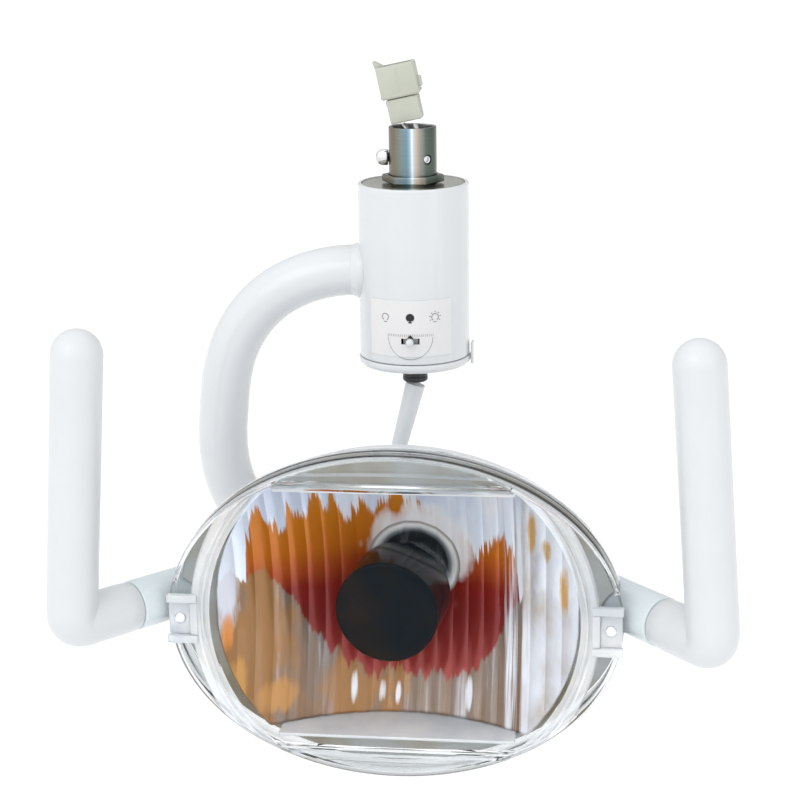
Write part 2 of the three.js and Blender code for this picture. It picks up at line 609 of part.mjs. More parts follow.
function makeHandles() {
  [[-1, 'left'], [1, 'right']].forEach(([side, word]) => {
    const flip = (v) => new THREE.Vector3(side * v.x, v.y, v.z);
    const [corner, top, seam, inner] = [GRIP_CORNER, GRIP_TOP, ROOT_SEAM, ROOT_INNER].map(flip);
    const rootLength = inner.distanceTo(seam);
    const root = rodBetween(inner, corner, () => turned([
      [0, 0], [GRIP_R, 0], [GRIP_R, rootLength], [ROOT_SPIGOT_R, rootLength],
      [ROOT_SPIGOT_R, rootLength + ROOT_SPIGOT_LENGTH], [0, rootLength + ROOT_SPIGOT_LENGTH],
    ], 24));
    const screwSeat = alongY(turnedRod(2.4, -30, 16, 12));
    const place = (geometry) => geometry.translate(side * HANDLE_SCREW_X, HANDLE_SCREW_Y, HANDLE_Z);
    addMesh(`handle_root_${word}`, cut(root, place(screwSeat)), bluePlastic);
    const screw = turned([[0, -3], [4.4, -3], [4.4, 0], [2.1, 0], [2.1, 14], [0, 14]], 12);
    addMesh(`handle_screw_${word}`, place(alongY(screw)), steel);

    const gripStart = seam.clone().add(corner.clone().sub(seam).normalize().multiplyScalar(GAP));
    const arm = rodBetween(gripStart, corner, (length) => turnedRod(GRIP_R, 0, length, 20));
    const upright = rodBetween(corner, top, (length) => turned([
      [0, 0], [GRIP_R, 0], [GRIP_R, length], [GRIP_R * 0.92, length + 5], [GRIP_R * 0.7, length + 9.5],
      [GRIP_R * 0.38, length + 12.4], [0, length + GRIP_R],
    ], 20));
    const elbow = new THREE.SphereGeometry(GRIP_R, 20, 10).rotateX(Math.PI / 2)
      .translate(corner.x, corner.y, corner.z);
    const boreDepth = ROOT_SPIGOT_LENGTH + 2 * GAP;
    const bore = rodBetween(seam, corner, () => turnedRod(ROOT_SPIGOT_R + GAP, -2, boreDepth, 20));
    addMesh(`grip_${word}`, cut(join(arm, elbow, upright), bore), whitePlastic);
  });
}

// ---- clear shield ----

function makeShield() {
  const count = 44;
  const ellipse = ellipseRadius(HEAD_A, HEAD_B);
  const scaled = (k) => (a) => windowRadius(a) * k;
  const grown = (d) => (a) => Math.min(windowRadius(a) + d, ellipse(a) - 1.4);
  const inset = (d) => (a) => ellipse(a) - d;
  const inside = (d) => (a) => Math.min(windowRadius(a) + d, ellipse(a) - SHIELD_WALL - 0.8);
  const crown = (k, lift) => (a) => crownAt(windowRadius(a) * k) + lift;
  const rings = [
    headRing(count, crown(0.05, SHIELD_WALL), scaled(0.05)),
    headRing(count, crown(0.5, SHIELD_WALL), scaled(0.5)),
    headRing(count, crown(0.8, SHIELD_WALL), scaled(0.8)),
    headRing(count, crown(0.97, SHIELD_WALL), scaled(0.97)),
    headRing(count, RIM_Y + SHIELD_WALL, inside(1)),
    headRing(count, RIM_Y + SHIELD_WALL, inset(SHIELD_WALL)),
    headRing(count, SKIRT_BACK_Y, inset(SHIELD_WALL)),
    headRing(count, SKIRT_BACK_Y, inset(0)),
    headRing(count, RIM_Y + 1, inset(0)),
    headRing(count, RIM_Y, inset(1)),
    headRing(count, RIM_Y, grown(3.2)),
    headRing(count, RIM_Y - 1.6, grown(2.6)),
    headRing(count, RIM_Y - 1.6, grown(0.8)),
    headRing(count, crown(0.99, 0), scaled(0.99)),
    headRing(count, crown(0.8, 0), scaled(0.8)),
    headRing(count, crown(0.5, 0), scaled(0.5)),
    headRing(count, crown(0.05, 0), scaled(0.05)),
  ];
  const clip = (side) => {
    const reach = (x0, x1) => (side > 0 ? [x0, x1] : [-x1, -x0]);
    const block = box(...reach(104, 119.6), RIM_Y - 4, RIM_Y + 1, TILT_Z - 15, TILT_Z + 12);
    const hollow = box(...reach(107, 122), RIM_Y - 6, RIM_Y - 0.6, TILT_Z - 11, TILT_Z + 8);
    return cut(block, hollow);
  };
  const notch = (side) => box(...(side > 0 ? [112, 130] : [-130, -112]),
    RIM_Y + SHIELD_WALL + 0.2, SKIRT_BACK_Y + 10, HANDLE_Z - GRIP_R - 1, HANDLE_Z + GRIP_R + 1);
  const shield = join(ringSolid(rings), clip(-1), clip(1));
  addMesh('front_shield', cut(shield, notch(-1), notch(1)), clearShield);
}

// ---- cable between housing and head ----

const RELIEF_LENGTH = 43;
const RELIEF_TOP_Z = -144;
const CABLE_POINTS = [
  [-10.9, -3, -186.2], [-12.3, -3.2, -191.8], [-13, -3, -197.5], [-12.9, -2.2, -203], [-11.2, -1.2, -208.5],
  [-8.6, -0.5, -213.5], [-6.5, 0, -218], [INLET_X, 0, -221.5], [INLET_X, 0, -226],
];

function makeCable() {
  const relief = turned([
    [CABLE_R + 0.1, 0], [5.6, 0], [5.2, 14], [4.7, 30], [4.2, RELIEF_LENGTH],
    [CABLE_R + 0.1, RELIEF_LENGTH], [CABLE_R + 0.1, 0],
  ], 16).rotateX(Math.PI);
  const lean = new THREE.Vector3(-11, -3, -43).normalize();
  const turn = new THREE.Quaternion().setFromUnitVectors(new THREE.Vector3(0, 0, -1), lean);
  addMesh('strain_relief', relief.applyQuaternion(turn).translate(0, 0, RELIEF_TOP_Z), whitePlastic);
  addMesh('lamp_cable', tubeAlong(CABLE_POINTS, CABLE_R, 18, 8), whitePlastic);
}

makeFixingEnd();
makeConnector();
makeHousing();
makeSwitch();
makeHousingInsides();
makeArm();
makeBackShell();
makeKnuckle();
makeReflector();
makeLamp();
makeHandles();
makeShield();
makeCable();

export default light;
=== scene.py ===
"""Dental operating light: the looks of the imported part, built around its CAD frame.

Shapes are worked out in millimetres in the part's own frame (+Z up, the light shines to -Y) and
become metres as each mesh is made.
"""

import json
import math

import bmesh
import bpy
from mathutils import Matrix, Vector


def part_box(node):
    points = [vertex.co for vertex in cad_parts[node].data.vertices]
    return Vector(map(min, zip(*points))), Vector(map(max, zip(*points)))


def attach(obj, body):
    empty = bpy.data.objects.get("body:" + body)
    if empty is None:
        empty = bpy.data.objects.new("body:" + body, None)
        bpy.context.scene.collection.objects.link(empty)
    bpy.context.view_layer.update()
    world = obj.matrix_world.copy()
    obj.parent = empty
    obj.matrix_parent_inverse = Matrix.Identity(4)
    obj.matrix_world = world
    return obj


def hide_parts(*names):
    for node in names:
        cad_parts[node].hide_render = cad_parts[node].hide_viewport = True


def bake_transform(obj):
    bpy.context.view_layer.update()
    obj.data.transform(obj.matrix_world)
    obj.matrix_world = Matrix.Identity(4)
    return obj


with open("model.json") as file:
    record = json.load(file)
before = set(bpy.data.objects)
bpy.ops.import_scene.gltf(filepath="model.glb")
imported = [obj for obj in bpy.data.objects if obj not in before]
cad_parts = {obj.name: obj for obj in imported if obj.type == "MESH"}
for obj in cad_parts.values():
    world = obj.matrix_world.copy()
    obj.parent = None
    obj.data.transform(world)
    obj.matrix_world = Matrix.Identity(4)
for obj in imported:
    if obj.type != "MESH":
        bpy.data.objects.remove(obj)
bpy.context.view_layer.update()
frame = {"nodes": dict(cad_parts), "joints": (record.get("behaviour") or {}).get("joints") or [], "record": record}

MM = 0.001


def box_mm(node):
    low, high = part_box(node)
    return low / MM, high / MM


def half_size(node):
    low, high = box_mm(node)
    return (high - low) / 2


# ---- measures taken from the frame, in millimetres ----

GAP = 0.3
COLLAR_R = box_mm("mount_collar")[1].x
COLLAR_BORE_R = COLLAR_R - 2
NUT_LOW_Z, NUT_HIGH_Z = (corner.z for corner in box_mm("collar_locknut"))
NUT_CORNER_R = half_size("collar_locknut").x
SCREW_Z = sum(corner.z for corner in box_mm("retaining_screw")) / 2

HOUSING_R = half_size("housing_shell").x
HOUSING_SEAM_Z, HOUSING_TOP_Z = (corner.z for corner in box_mm("housing_shell"))
HOUSING_BASE_Z = box_mm("base_cap")[0].z
HOUSING_WALL = 2.2
LABEL_LOW_Z, LABEL_HIGH_Z = (corner.z for corner in box_mm("label_plate"))

JOINTS = {joint["name"]: joint for joint in frame["joints"]}
TILT_Z = JOINTS["head_tilt"]["pos_m"][2] / MM
ARM_R = half_size("c_arm").y
ARM_END_X = box_mm("c_arm")[1].x
ARM_ROOT_Z = box_mm("c_arm")[1].z - ARM_R
ARM_FAR_X = box_mm("c_arm")[0].x + ARM_R

HEAD_A = half_size("front_shield").x - 0.6
HEAD_B = half_size("front_shield").z
SKIRT_BACK_Y = box_mm("front_shield")[1].y
CROWN = 8
RIM_Y = box_mm("front_shield")[0].y + CROWN
SHIELD_WALL = 2.3
WINDOW_HALF_HEIGHT = 72.5
WINDOW_R = 94.5
WINDOW_CENTRE_X = 5

REFLECTOR_R = half_size("reflector").x + 0.4
REFLECTOR_HALF_HEIGHT = half_size("reflector").z
REFLECTOR_APEX_Y = -52
REFLECTOR_CURVE = 195
SHELF_HALF = 63
FLUTES = 22
FLUTE_DEPTH = 0.9

SHELL_RIM_Y, SHELL_BACK_Y = (corner.y for corner in box_mm("back_shell"))
SHELL_A = HEAD_A - 2.5
SHELL_B = HEAD_B - 2.5
SHELL_WALL = 2.2

CAP_R = 27.6
CAP_LENGTH = 35
CAP_FRONT = 49.5
LAMP_YAW = math.radians(-6)

GRIP_R = 13.3
HANDLE_HOLE_R = GRIP_R + 1.4
HANDLE_Z = sum(corner.z for corner in box_mm("handle_root_left")) / 2
GRIP_CORNER = Vector((163.5, -138, HANDLE_Z))
GRIP_TOP = Vector((153, -138, box_mm("grip_left")[1].z - GRIP_R))
ROOT_SEAM = Vector((139, -109.4, HANDLE_Z))
ROOT_INNER = Vector((104, -68.7, HANDLE_Z))
SEGMENTS = 96


def mirror_y(x, z):
    return REFLECTOR_APEX_Y - (x * x + z * z) / REFLECTOR_CURVE


# ---- materials: one for each of the record's slots ----

def socket(node, name):
    return next(s for s in node.inputs if s.name == name and s.enabled)


class Look:
    """A Principled material with helpers that add procedural detail to it."""

    def __init__(self, name, color, roughness, metallic=0.0, **inputs):
        self.slot = name
        self.material = bpy.data.materials.new(name)
        self.material.use_nodes = True
        self.tree = self.material.node_tree
        self.shader = self.tree.nodes["Principled BSDF"]
        self.set("Base Color", (*color, 1))
        self.set("Roughness", roughness)
        self.set("Metallic", metallic)
        for key, value in inputs.items():
            self.set(key.replace("_", " "), value)
        self.place = self.tree.nodes.new("ShaderNodeTexCoord").outputs["Object"]

    def set(self, name, value):
        self.shader.inputs[name].default_value = value

    def link(self, output, target):
        self.tree.links.new(output, target)

    def node(self, kind, **settings):
        made = self.tree.nodes.new(kind)
        for key, value in settings.items():
            setattr(made, key, value)
        return made

    def noise(self, scale, stretch=(1, 1, 1), detail=4.0, rough=0.55, shift=(0, 0, 0)):
        mapping = self.node("ShaderNodeMapping")
        mapping.inputs["Scale"].default_value = stretch
        mapping.inputs["Location"].default_value = shift
        self.link(self.place, mapping.inputs["Vector"])
        texture = self.node("ShaderNodeTexNoise")
        texture.inputs["Scale"].default_value = scale
        texture.inputs["Detail"].default_value = detail
        texture.inputs["Roughness"].default_value = rough
        self.link(mapping.outputs["Vector"], texture.inputs["Vector"])
        return texture.outputs["Fac"]

    def ramp(self, value, stops, mode="LINEAR"):
        made = self.node("ShaderNodeValToRGB")
        made.color_ramp.interpolation = mode
        elements = made.color_ramp.elements
        while len(elements) > 1:
            elements.remove(elements[-1])
        elements[0].position = stops[0][0]
        elements[0].color = (*stops[0][1], 1)
        for position, color in stops[1:]:
            elements.new(position).color = (*color, 1)
        self.link(value, made.inputs["Fac"])
        return made.outputs["Color"]

    def math(self, operation, a, b=0.0):
        made = self.node("ShaderNodeMath", operation=operation)
        for value, target in zip((a, b), made.inputs):
            if isinstance(value, (int, float)):
                target.default_value = value
            else:
                self.link(value, target)
        return made.outputs[0]

    def spread(self, value, low, high):
        """A 0..1 value laid between two levels."""
        made = self.node("ShaderNodeMapRange")
        made.inputs["To Min"].default_value = low
        made.inputs["To Max"].default_value = high
        self.link(value, made.inputs["Value"])
        return made.outputs["Result"]

    def mix(self, factor, a, b):
        made = self.node("ShaderNodeMix", data_type="RGBA")
        for value, name in ((factor, "Factor"), (a, "A"), (b, "B")):
            target = socket(made, name)
            if isinstance(value, (int, float, tuple)):
                target.default_value = value
            else:
                self.link(value, target)
        return next(o for o in made.outputs if o.enabled)

    def axis(self, name):
        split = self.node("ShaderNodeSeparateXYZ")
        self.link(self.place, split.inputs[0])
        return split.outputs[name]

    def color_from(self, output):
        self.link(output, self.shader.inputs["Base Color"])

    def roughness_from(self, output):
        self.link(output, self.shader.inputs["Roughness"])

    def bump(self, height, distance_mm, strength=1.0):
        made = self.node("ShaderNodeBump")
        made.inputs["Distance"].default_value = distance_mm * MM
        made.inputs["Strength"].default_value = strength
        self.link(height, made.inputs["Height"])
        self.link(made.outputs["Normal"], self.shader.inputs["Normal"])


def moulded(name, color, roughness, variation=0.03, grain_mm=0.02, **inputs):
    """Moulded plastic or enamel: a faint flow in its tone, uneven gloss and a fine surface grain."""
    look = Look(name, color, roughness, **inputs)
    darker = tuple(channel * (1 - variation) for channel in color)
    look.color_from(look.ramp(look.noise(28), [(0.3, darker), (0.7, color)]))
    look.roughness_from(look.spread(look.noise(90, detail=6), roughness * 0.8, roughness * 1.25))
    look.bump(look.noise(1400, detail=3), grain_mm)
    return look


def brushed(name, dark, light, roughness, stretch, scale=120, scratch_mm=0.01):
    """Machined steel: streaks along the cut, in tone, gloss and relief."""
    look = Look(name, light, roughness, metallic=1.0)
    streaks = look.noise(scale, stretch, detail=7, rough=0.7)
    look.color_from(look.ramp(streaks, [(0.3, dark), (0.7, light)]))
    look.roughness_from(look.spread(streaks, roughness * 0.75, roughness * 1.35))
    look.bump(streaks, scratch_mm)
    return look


def collar_steel_look():
    """A satin collar whose turned surface shows bright, blue and warm streaks down its length: painted
    reflections, set by the angle around it.
    """
    look = Look("collar_steel", (0.3, 0.3, 0.3), 0.3, metallic=1.0)
    around = look.math("ARCTAN2", look.axis("Y"), look.axis("X"))
    turn = look.math("MULTIPLY_ADD", around, 0.5 / math.pi)
    turn.node.inputs[2].default_value = 0.5
    waver = look.spread(look.noise(40, (1, 1, 0.1)), -0.012, 0.012)
    # Painted reflection: bright, blue and warm streaks laid by the angle around the collar.
    painted_reflection_streaks = look.ramp(look.math("ADD", turn, waver), [
        (0.0, (0.13, 0.14, 0.12)), (0.13, (0.2, 0.17, 0.12)), (0.19, (0.2, 0.24, 0.24)),
        (0.23, (0.15, 0.25, 0.32)), (0.252, (0.3, 0.42, 0.5)), (0.266, (0.75, 0.82, 0.86)),
        (0.28, (0.5, 0.54, 0.55)), (0.296, (0.5, 0.42, 0.33)), (0.318, (0.27, 0.26, 0.24)),
        (0.36, (0.11, 0.14, 0.12)), (0.44, (0.08, 0.1, 0.08)), (0.56, (0.3, 0.31, 0.3)),
        (0.68, (0.6, 0.62, 0.62)), (0.8, (0.24, 0.25, 0.24)), (1.0, (0.13, 0.14, 0.12)),
    ])
    turning = look.noise(260, (0.02, 0.02, 6), detail=5)
    product = look.node("ShaderNodeVectorMath", operation="SCALE")
    look.link(painted_reflection_streaks, product.inputs[0])
    look.link(look.spread(turning, 0.8, 1.25), product.inputs["Scale"])
    look.color_from(product.outputs[0])
    look.roughness_from(look.spread(turning, 0.24, 0.42))
    look.bump(turning, 0.02)
    return look


# Outlines on the mirror, as (across, up) from the lamp in millimetres. Many of the points in these
# three lists are a measuring program's output from picks in the photograph, touched up. That
# isn't how a script should come by its numbers.
MIRROR_FLAME_TOP = [
    (-96, -30), (-88, -22), (-83, 10), (-80, 42), (-72, 50), (-60, 50), (-39, 54), (-32, 46),
    (-16, 52), (-5, 54), (12, 44), (27, 36), (40, 29), (50, 24), (57, 27), (62, 12), (66, -16),
    (72, -50), (96, -66),
]
MIRROR_RED_EDGE = [
    (-96, 14), (-86, 16), (-74, 12), (-60, -5), (-53, -20), (-44, -32), (-32, -41), (-4, -48), (27, -46),
    (40, -41), (49, -34), (54, -22), (60, -8), (68, 4), (96, 10),
]
# Patches of colour: where, how wide and high, and how strong. The pale and white-blue ones are painted glints and
# sheen, the amber ones the film's tint.
MIRROR_TINTS_AND_GLINTS = [
    ((-92, 22), (8, 46), (0.72, 0.78, 0.9)), ((-91, -16), (3.5, 12), (0.72, 0.26, 0.04)),
    ((-87, -44), (6, 16), (0.56, 0.28, 0.06)), ((-66, -54), (13, 9), (0.5, 0.24, 0.06)),
    ((70, 44), (3.5, 15), (0.62, 0.34, 0.06)), ((78, 33), (3, 8), (0.6, 0.36, 0.1)),
    ((88, 12), (3, 17), (0.62, 0.34, 0.06)), ((-27, -55), (2.2, 9), (0.86, 0.92, 1.0)),
    ((-12, -57), (2.6, 7), (0.86, 0.92, 1.0)), ((-3, -58), (2, 6), (0.86, 0.92, 1.0)),
    ((36, -56), (2.4, 9), (0.8, 0.84, 0.92)),
]


def dichroic_look():
    """The cold-light mirror. Its colour is partly the film's own amber and red and partly painted reflection.
    A pale painted sheen on top gives way, in jagged flames that hang on its flutes, to amber, then deep
    red across the middle, and below an arc to smoky brown with pale pillars."""
    look = Look("dichroic", (0.7, 0.35, 0.1), 0.13, metallic=0.25, Coat_Weight=0.12, Coat_Roughness=0.05)
    reach, rise = REFLECTOR_R * MM, REFLECTOR_HALF_HEIGHT * MM

    def scaled(value, factor, offset):
        out = look.math("MULTIPLY_ADD", value, factor)
        out.node.inputs[2].default_value = offset
        return out

    across = look.axis("X")
    height = look.math("SUBTRACT", look.axis("Z"), TILT_Z * MM)
    up = scaled(height, 0.5 / rise, 0.5)
    along = scaled(across, 0.5 / reach, 0.5)

    def outline(points):
        made = look.node("ShaderNodeFloatCurve")
        curve = made.mapping.curves[0]
        places = [(0.5 + x * MM / 2 / reach, 0.5 + z * MM / 2 / rise) for x, z in points]
        curve.points[0].location = places[0]
        curve.points[1].location = places[-1]
        for x, y in places[1:-1]:
            curve.points.new(x, y)
        made.mapping.update()
        look.link(along, made.inputs["Value"])
        return made.outputs["Value"]

    fringe = look.noise(105, (1, 0.0, 0.02), detail=5, rough=0.72)
    jag = look.math("MULTIPLY", look.math("SUBTRACT", fringe, 0.52), 0.8)
    soft = look.noise(30, (1, 1, 0.6), detail=3)

    # Smoke below, a pale painted sheen above: painted reflection over the film's tint.
    pillars = look.noise(170, (1, 0, 0.05), detail=4, rough=0.6, shift=(3, 0, 0))
    smoke = look.ramp(look.math("ADD", pillars, look.spread(soft, -0.12, 0.12)), [
        (0.3, (0.16, 0.07, 0.03)), (0.44, (0.2, 0.13, 0.085)), (0.56, (0.22, 0.17, 0.14)),
        (0.66, (0.36, 0.34, 0.36)), (0.8, (0.7, 0.74, 0.82)),
    ])
    painted_sheen = look.ramp(look.noise(60, (1, 0, 0.15), shift=(2, 0, 0)), [
        (0.33, (0.6, 0.68, 0.86)), (0.5, (0.78, 0.87, 1.0)), (0.62, (0.93, 0.95, 1.0)),
        (0.74, (0.8, 0.74, 0.72)),
    ])
    flame = look.ramp(look.math("ADD", up, look.spread(soft, -0.06, 0.06)), [
        (0.1, (0.3, 0.025, 0.018)), (0.4, (0.2, 0.014, 0.012)), (0.52, (0.24, 0.016, 0.01)),
        (0.6, (0.4, 0.07, 0.012)), (0.68, (0.52, 0.14, 0.008)), (0.84, (0.56, 0.18, 0.012)),
        (0.95, (0.6, 0.24, 0.04)),
    ])
    below_top = look.math("SUBTRACT", look.math("ADD", outline(MIRROR_FLAME_TOP), jag), up)
    flame_mask = look.ramp(below_top, [(0.0, (0, 0, 0)), (0.01, (0.7, 0.7, 0.7)), (0.025, (1, 1, 1))])
    mirror = look.mix(flame_mask, painted_sheen, flame)
    ripple = look.math("ADD", look.spread(soft, -0.03, 0.03), look.math("MULTIPLY", jag, 0.35))
    over_edge = look.math("SUBTRACT", up, look.math("ADD", outline(MIRROR_RED_EDGE), ripple))
    smoke_mask = look.ramp(over_edge, [(0.0, (1, 1, 1)), (0.012, (0, 0, 0))])
    golden_place = look.math("ADD", look.noise(22, (1, 1, 0.7), shift=(0.7, 0, 0.2)),
                             look.math("MULTIPLY", look.math("SUBTRACT", along, 0.5), -0.3))
    golden_mask = look.ramp(look.math("ADD", golden_place, look.math("MULTIPLY", jag, 0.5)), [
        (0.5, (0, 0, 0)), (0.6, (0.75, 0.75, 0.75)),
    ])
    smoke = look.mix(golden_mask, smoke, (0.36, 0.16, 0.03, 1))
    mirror = look.mix(smoke_mask, mirror, smoke)

    # Past the flames' right end the mirror is pale and glassy: a painted reflection.
    centred = look.math("MULTIPLY", across, 1 / reach)
    side_mask = look.ramp(look.math("ADD", centred, jag), [(0.64, (0, 0, 0)), (0.7, (0.9, 0.9, 0.9))])
    pale_painted_reflection = look.ramp(look.noise(40, (1, 0, 0.45), shift=(5.2, 0, 0)), [
        (0.36, (0.5, 0.46, 0.42)), (0.5, (0.68, 0.72, 0.8)), (0.62, (0.8, 0.86, 0.94)),
    ])
    mirror = look.mix(side_mask, mirror, pale_painted_reflection)

    ragged = look.spread(look.noise(150, (1, 0, 0.12), detail=4, rough=0.7), -1.6, 1.6)
    # Pale and white-blue patches are painted glints and sheen; amber ones are the film's tint.
    for (x, z), (wide, high), color in MIRROR_TINTS_AND_GLINTS:
        side = scaled(across, 1 / (wide * MM), -x / wide)
        rising = scaled(height, 1 / (high * MM), -z / high)
        far = look.math("ADD", look.math("MULTIPLY", side, side), look.math("MULTIPLY", rising, rising))
        mask = look.ramp(look.math("ADD", far, ragged), [(0.3, (0.85, 0.85, 0.85)), (1.0, (0, 0, 0))])
        mirror = look.mix(mask, mirror, (*color, 1))

    # Round the lamp the mirror carries a painted reflection of its silver ring, with a painted white glare past
    # it.
    def ring_place(x, z, r):
        offset = look.node("ShaderNodeVectorMath", operation="DISTANCE")
        look.link(look.place, offset.inputs[0])
        offset.inputs[1].default_value = (x * MM, mirror_y(x, z) * MM, (TILT_Z + z) * MM)
        return look.math("MULTIPLY", offset.outputs["Value"], 1 / (r * MM))

    ragged_glare = look.spread(look.noise(70, (1, 0, 0.3), detail=4), -0.35, 0.35)
    painted_glare_mask = look.ramp(look.math("ADD", ring_place(9, 24, 50), ragged_glare), [
        (0.36, (1, 1, 1)), (0.5, (0.7, 0.7, 0.7)), (0.6, (0, 0, 0)),
    ])
    mirror = look.mix(painted_glare_mask, mirror, (0.95, 0.97, 1.0, 1))
    ring_at = ring_place(5, 13, 26)
    painted_ring_reflection = look.ramp(ring_at, [
        (0.7, (0.02, 0.025, 0.03)), (0.78, (0.25, 0.28, 0.3)), (0.84, (0.75, 0.78, 0.8)),
        (0.9, (0.98, 1.0, 1.0)), (0.95, (0.5, 0.5, 0.48)), (0.985, (0.3, 0.24, 0.2)),
    ])
    mirror = look.mix(look.ramp(ring_at, [(0.98, (1, 1, 1)), (1.0, (0, 0, 0))]), mirror, painted_ring_reflection)
    look.color_from(mirror)
    look.roughness_from(look.spread(fringe, 0.08, 0.24))
    look.bump(look.noise(120, (1, 0, 0.2)), 0.15)
    return look


def tan_look():
    """The frame's plastic: pale grey that turns tan in broad patches."""
    look = Look("frame_tan", (0.5, 0.5, 0.45), 0.4)
    patches = look.noise(16, detail=3)
    look.color_from(look.ramp(patches, [
        (0.4, (0.52, 0.54, 0.53)), (0.5, (0.46, 0.44, 0.37)), (0.6, (0.33, 0.28, 0.2)),
    ]))
    look.roughness_from(look.spread(look.noise(80), 0.3, 0.5))
    look.bump(look.noise(900), 0.03)
    return look


def clear_look(name, tint, roughness, reflectance=0.5, ior=1.49, **inputs):
    """Clear polycarbonate or glass: faint flow lines and a trace of uneven thickness."""
    look = Look(name, tint, roughness, Transmission_Weight=1.0, IOR=ior,
                Specular_IOR_Level=reflectance, **inputs)
    darker = tuple(channel * 0.93 for channel in tint)
    look.color_from(look.ramp(look.noise(20, detail=3), [(0.4, darker), (0.6, tint)]))
    look.bump(look.noise(36, detail=2), 0.05, 0.5)
    look.roughness_from(look.spread(look.noise(70, detail=3), roughness * 0.4, roughness * 1.6))
    return look


def frosted_look(name, clearness):
    """Clear plastic hazed by its moulded texture, as on the shelves and the window's ribs."""
    look = Look(name, (0.8, 0.83, 0.87), 0.3, Transmission_Weight=clearness, IOR=1.4)
    cloud = look.noise(30, (1, 1, 1), detail=3)
    look.color_from(look.ramp(cloud, [(0.35, (0.78, 0.83, 0.88)), (0.6, (0.97, 0.985, 1.0))]))
    look.roughness_from(look.spread(cloud, 0.12, 0.3))
    look.bump(look.noise(60), 0.3)
    return look


def cap_look():
    """The bulb cap: near black, with a faint warm cast of painted light where the light leaks through."""
    look = Look("gloss_black", (0.004, 0.006, 0.009), 0.08, Specular_IOR_Level=0.08)
    # Painted light: a faint warm cast in cloudy patches.
    cloud = look.noise(24, (1, 0.2, 1), detail=2, shift=(0.3, 0, 0.7))
    look.color_from(look.ramp(cloud, [(0.45, (0.002, 0.005, 0.008)), (0.66, (0.014, 0.009, 0.006))]))
    look.roughness_from(look.spread(look.noise(160), 0.06, 0.12))
    look.bump(look.noise(900), 0.003)
    return look


def make_materials():
    looks = [
        collar_steel_look(),
        brushed("screw_steel", (0.55, 0.56, 0.58), (0.85, 0.86, 0.88), 0.12, (1, 1, 1)),
        brushed("plain_steel", (0.3, 0.31, 0.33), (0.6, 0.61, 0.63), 0.36, (1, 0.2, 0.2)),
        moulded("nylon", (0.46, 0.48, 0.41), 0.42, 0.12),
        moulded("yellow_lead", (0.66, 0.55, 0.06), 0.45),
        moulded("black_lead", (0.02, 0.02, 0.022), 0.4),
        moulded("black_rubber", (0.022, 0.022, 0.022), 0.75, 0.2, 0.05),
        moulded("white_paint", (0.6, 0.62, 0.64), 0.2, 0.02, 0.008, Coat_Weight=0.4),
        brushed("top_steel", (0.2, 0.2, 0.16), (0.48, 0.48, 0.42), 0.2, (0.3, 0.3, 4), 60),
        moulded("label_grey", (0.66, 0.66, 0.665), 0.35, 0.05),
        moulded("black_plastic", (0.018, 0.019, 0.022), 0.35, 0.2),
        moulded("white_plastic", (0.6, 0.625, 0.645), 0.3, 0.025, Coat_Weight=0.2),
        moulded("blue_white_plastic", (0.6, 0.67, 0.7), 0.26, 0.04, Coat_Weight=0.3),
        brushed("winding_copper", (0.3, 0.12, 0.04), (0.6, 0.3, 0.12), 0.35, (0.1, 0.1, 8)),
        moulded("board_green", (0.05, 0.2, 0.09), 0.5, 0.15),
        dichroic_look(),
        tan_look(),
        clear_look("clear_plastic", (0.86, 0.885, 0.9), 0.03),
        brushed("chrome", (0.7, 0.73, 0.75), (0.96, 0.98, 1.0), 0.3, (0.2, 0.2, 3), 90),
        cap_look(),
        moulded("white_ceramic", (0.8, 0.78, 0.72), 0.6, 0.06, 0.06),
        clear_look("window_clear", (0.985, 0.99, 0.995), 0.01, 0.2, 1.02, Alpha=0.25,
                   Coat_Weight=0.12),
        frosted_look("frosted", 0.3),
        frosted_look("rib_clear", 0.5),
        clear_look("quartz", (0.97, 0.98, 1.0), 0.02),
    ]
    return {look.slot: look.material for look in looks}


materials = make_materials()
print_ink = moulded("label_ink", (0.01, 0.01, 0.012), 0.5, 0.2).material
faint_ink = moulded("faint_ink", (0.3, 0.3, 0.31), 0.5, 0.2).material
slot_of = {part["node"]: part["material_slot"] for part in frame["record"]["subparts"]}
for node_name, node_object in frame["nodes"].items():
    node_object.data.materials.clear()
    node_object.data.materials.append(materials[slot_of[node_name]])
body_of = {n: body for body, ns in frame["record"]["behaviour"]["bodies"].items() for n in ns}


# ---- mesh helpers: every one gives (corners in millimetres, faces) ----

def solid(name, shape):
    """An object in the scene from (corners, faces), in metres."""
    corners, faces = shape
    mesh = bpy.data.meshes.new(name)
    mesh.from_pydata([tuple(Vector(c) * MM) for c in corners], [], faces)
    edit = bmesh.new()
    edit.from_mesh(mesh)
    bmesh.ops.remove_doubles(edit, verts=edit.verts, dist=0.002 * MM)
    bmesh.ops.recalc_face_normals(edit, faces=edit.faces)
    edit.to_mesh(mesh)
    edit.free()
    made = bpy.data.objects.new(name, mesh)
    bpy.context.scene.collection.objects.link(made)
    return made


def smooth_shade(mesh, sharp):
    mesh.shade_smooth()
    mesh.set_sharp_from_angle(angle=math.radians(sharp))


def piece(name, shape, like, replaces=(), material=None, sharp=40, body=None):
    """A finished piece of the object. It rides and is painted like the CAD node that it is like."""
    made = solid(name, shape)
    smooth_shade(made.data, sharp)
    made.data.materials.append(material or materials[slot_of[like]])
    if body is not False:
        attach(made, body or body_of[like])
    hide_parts(*replaces)
    return made


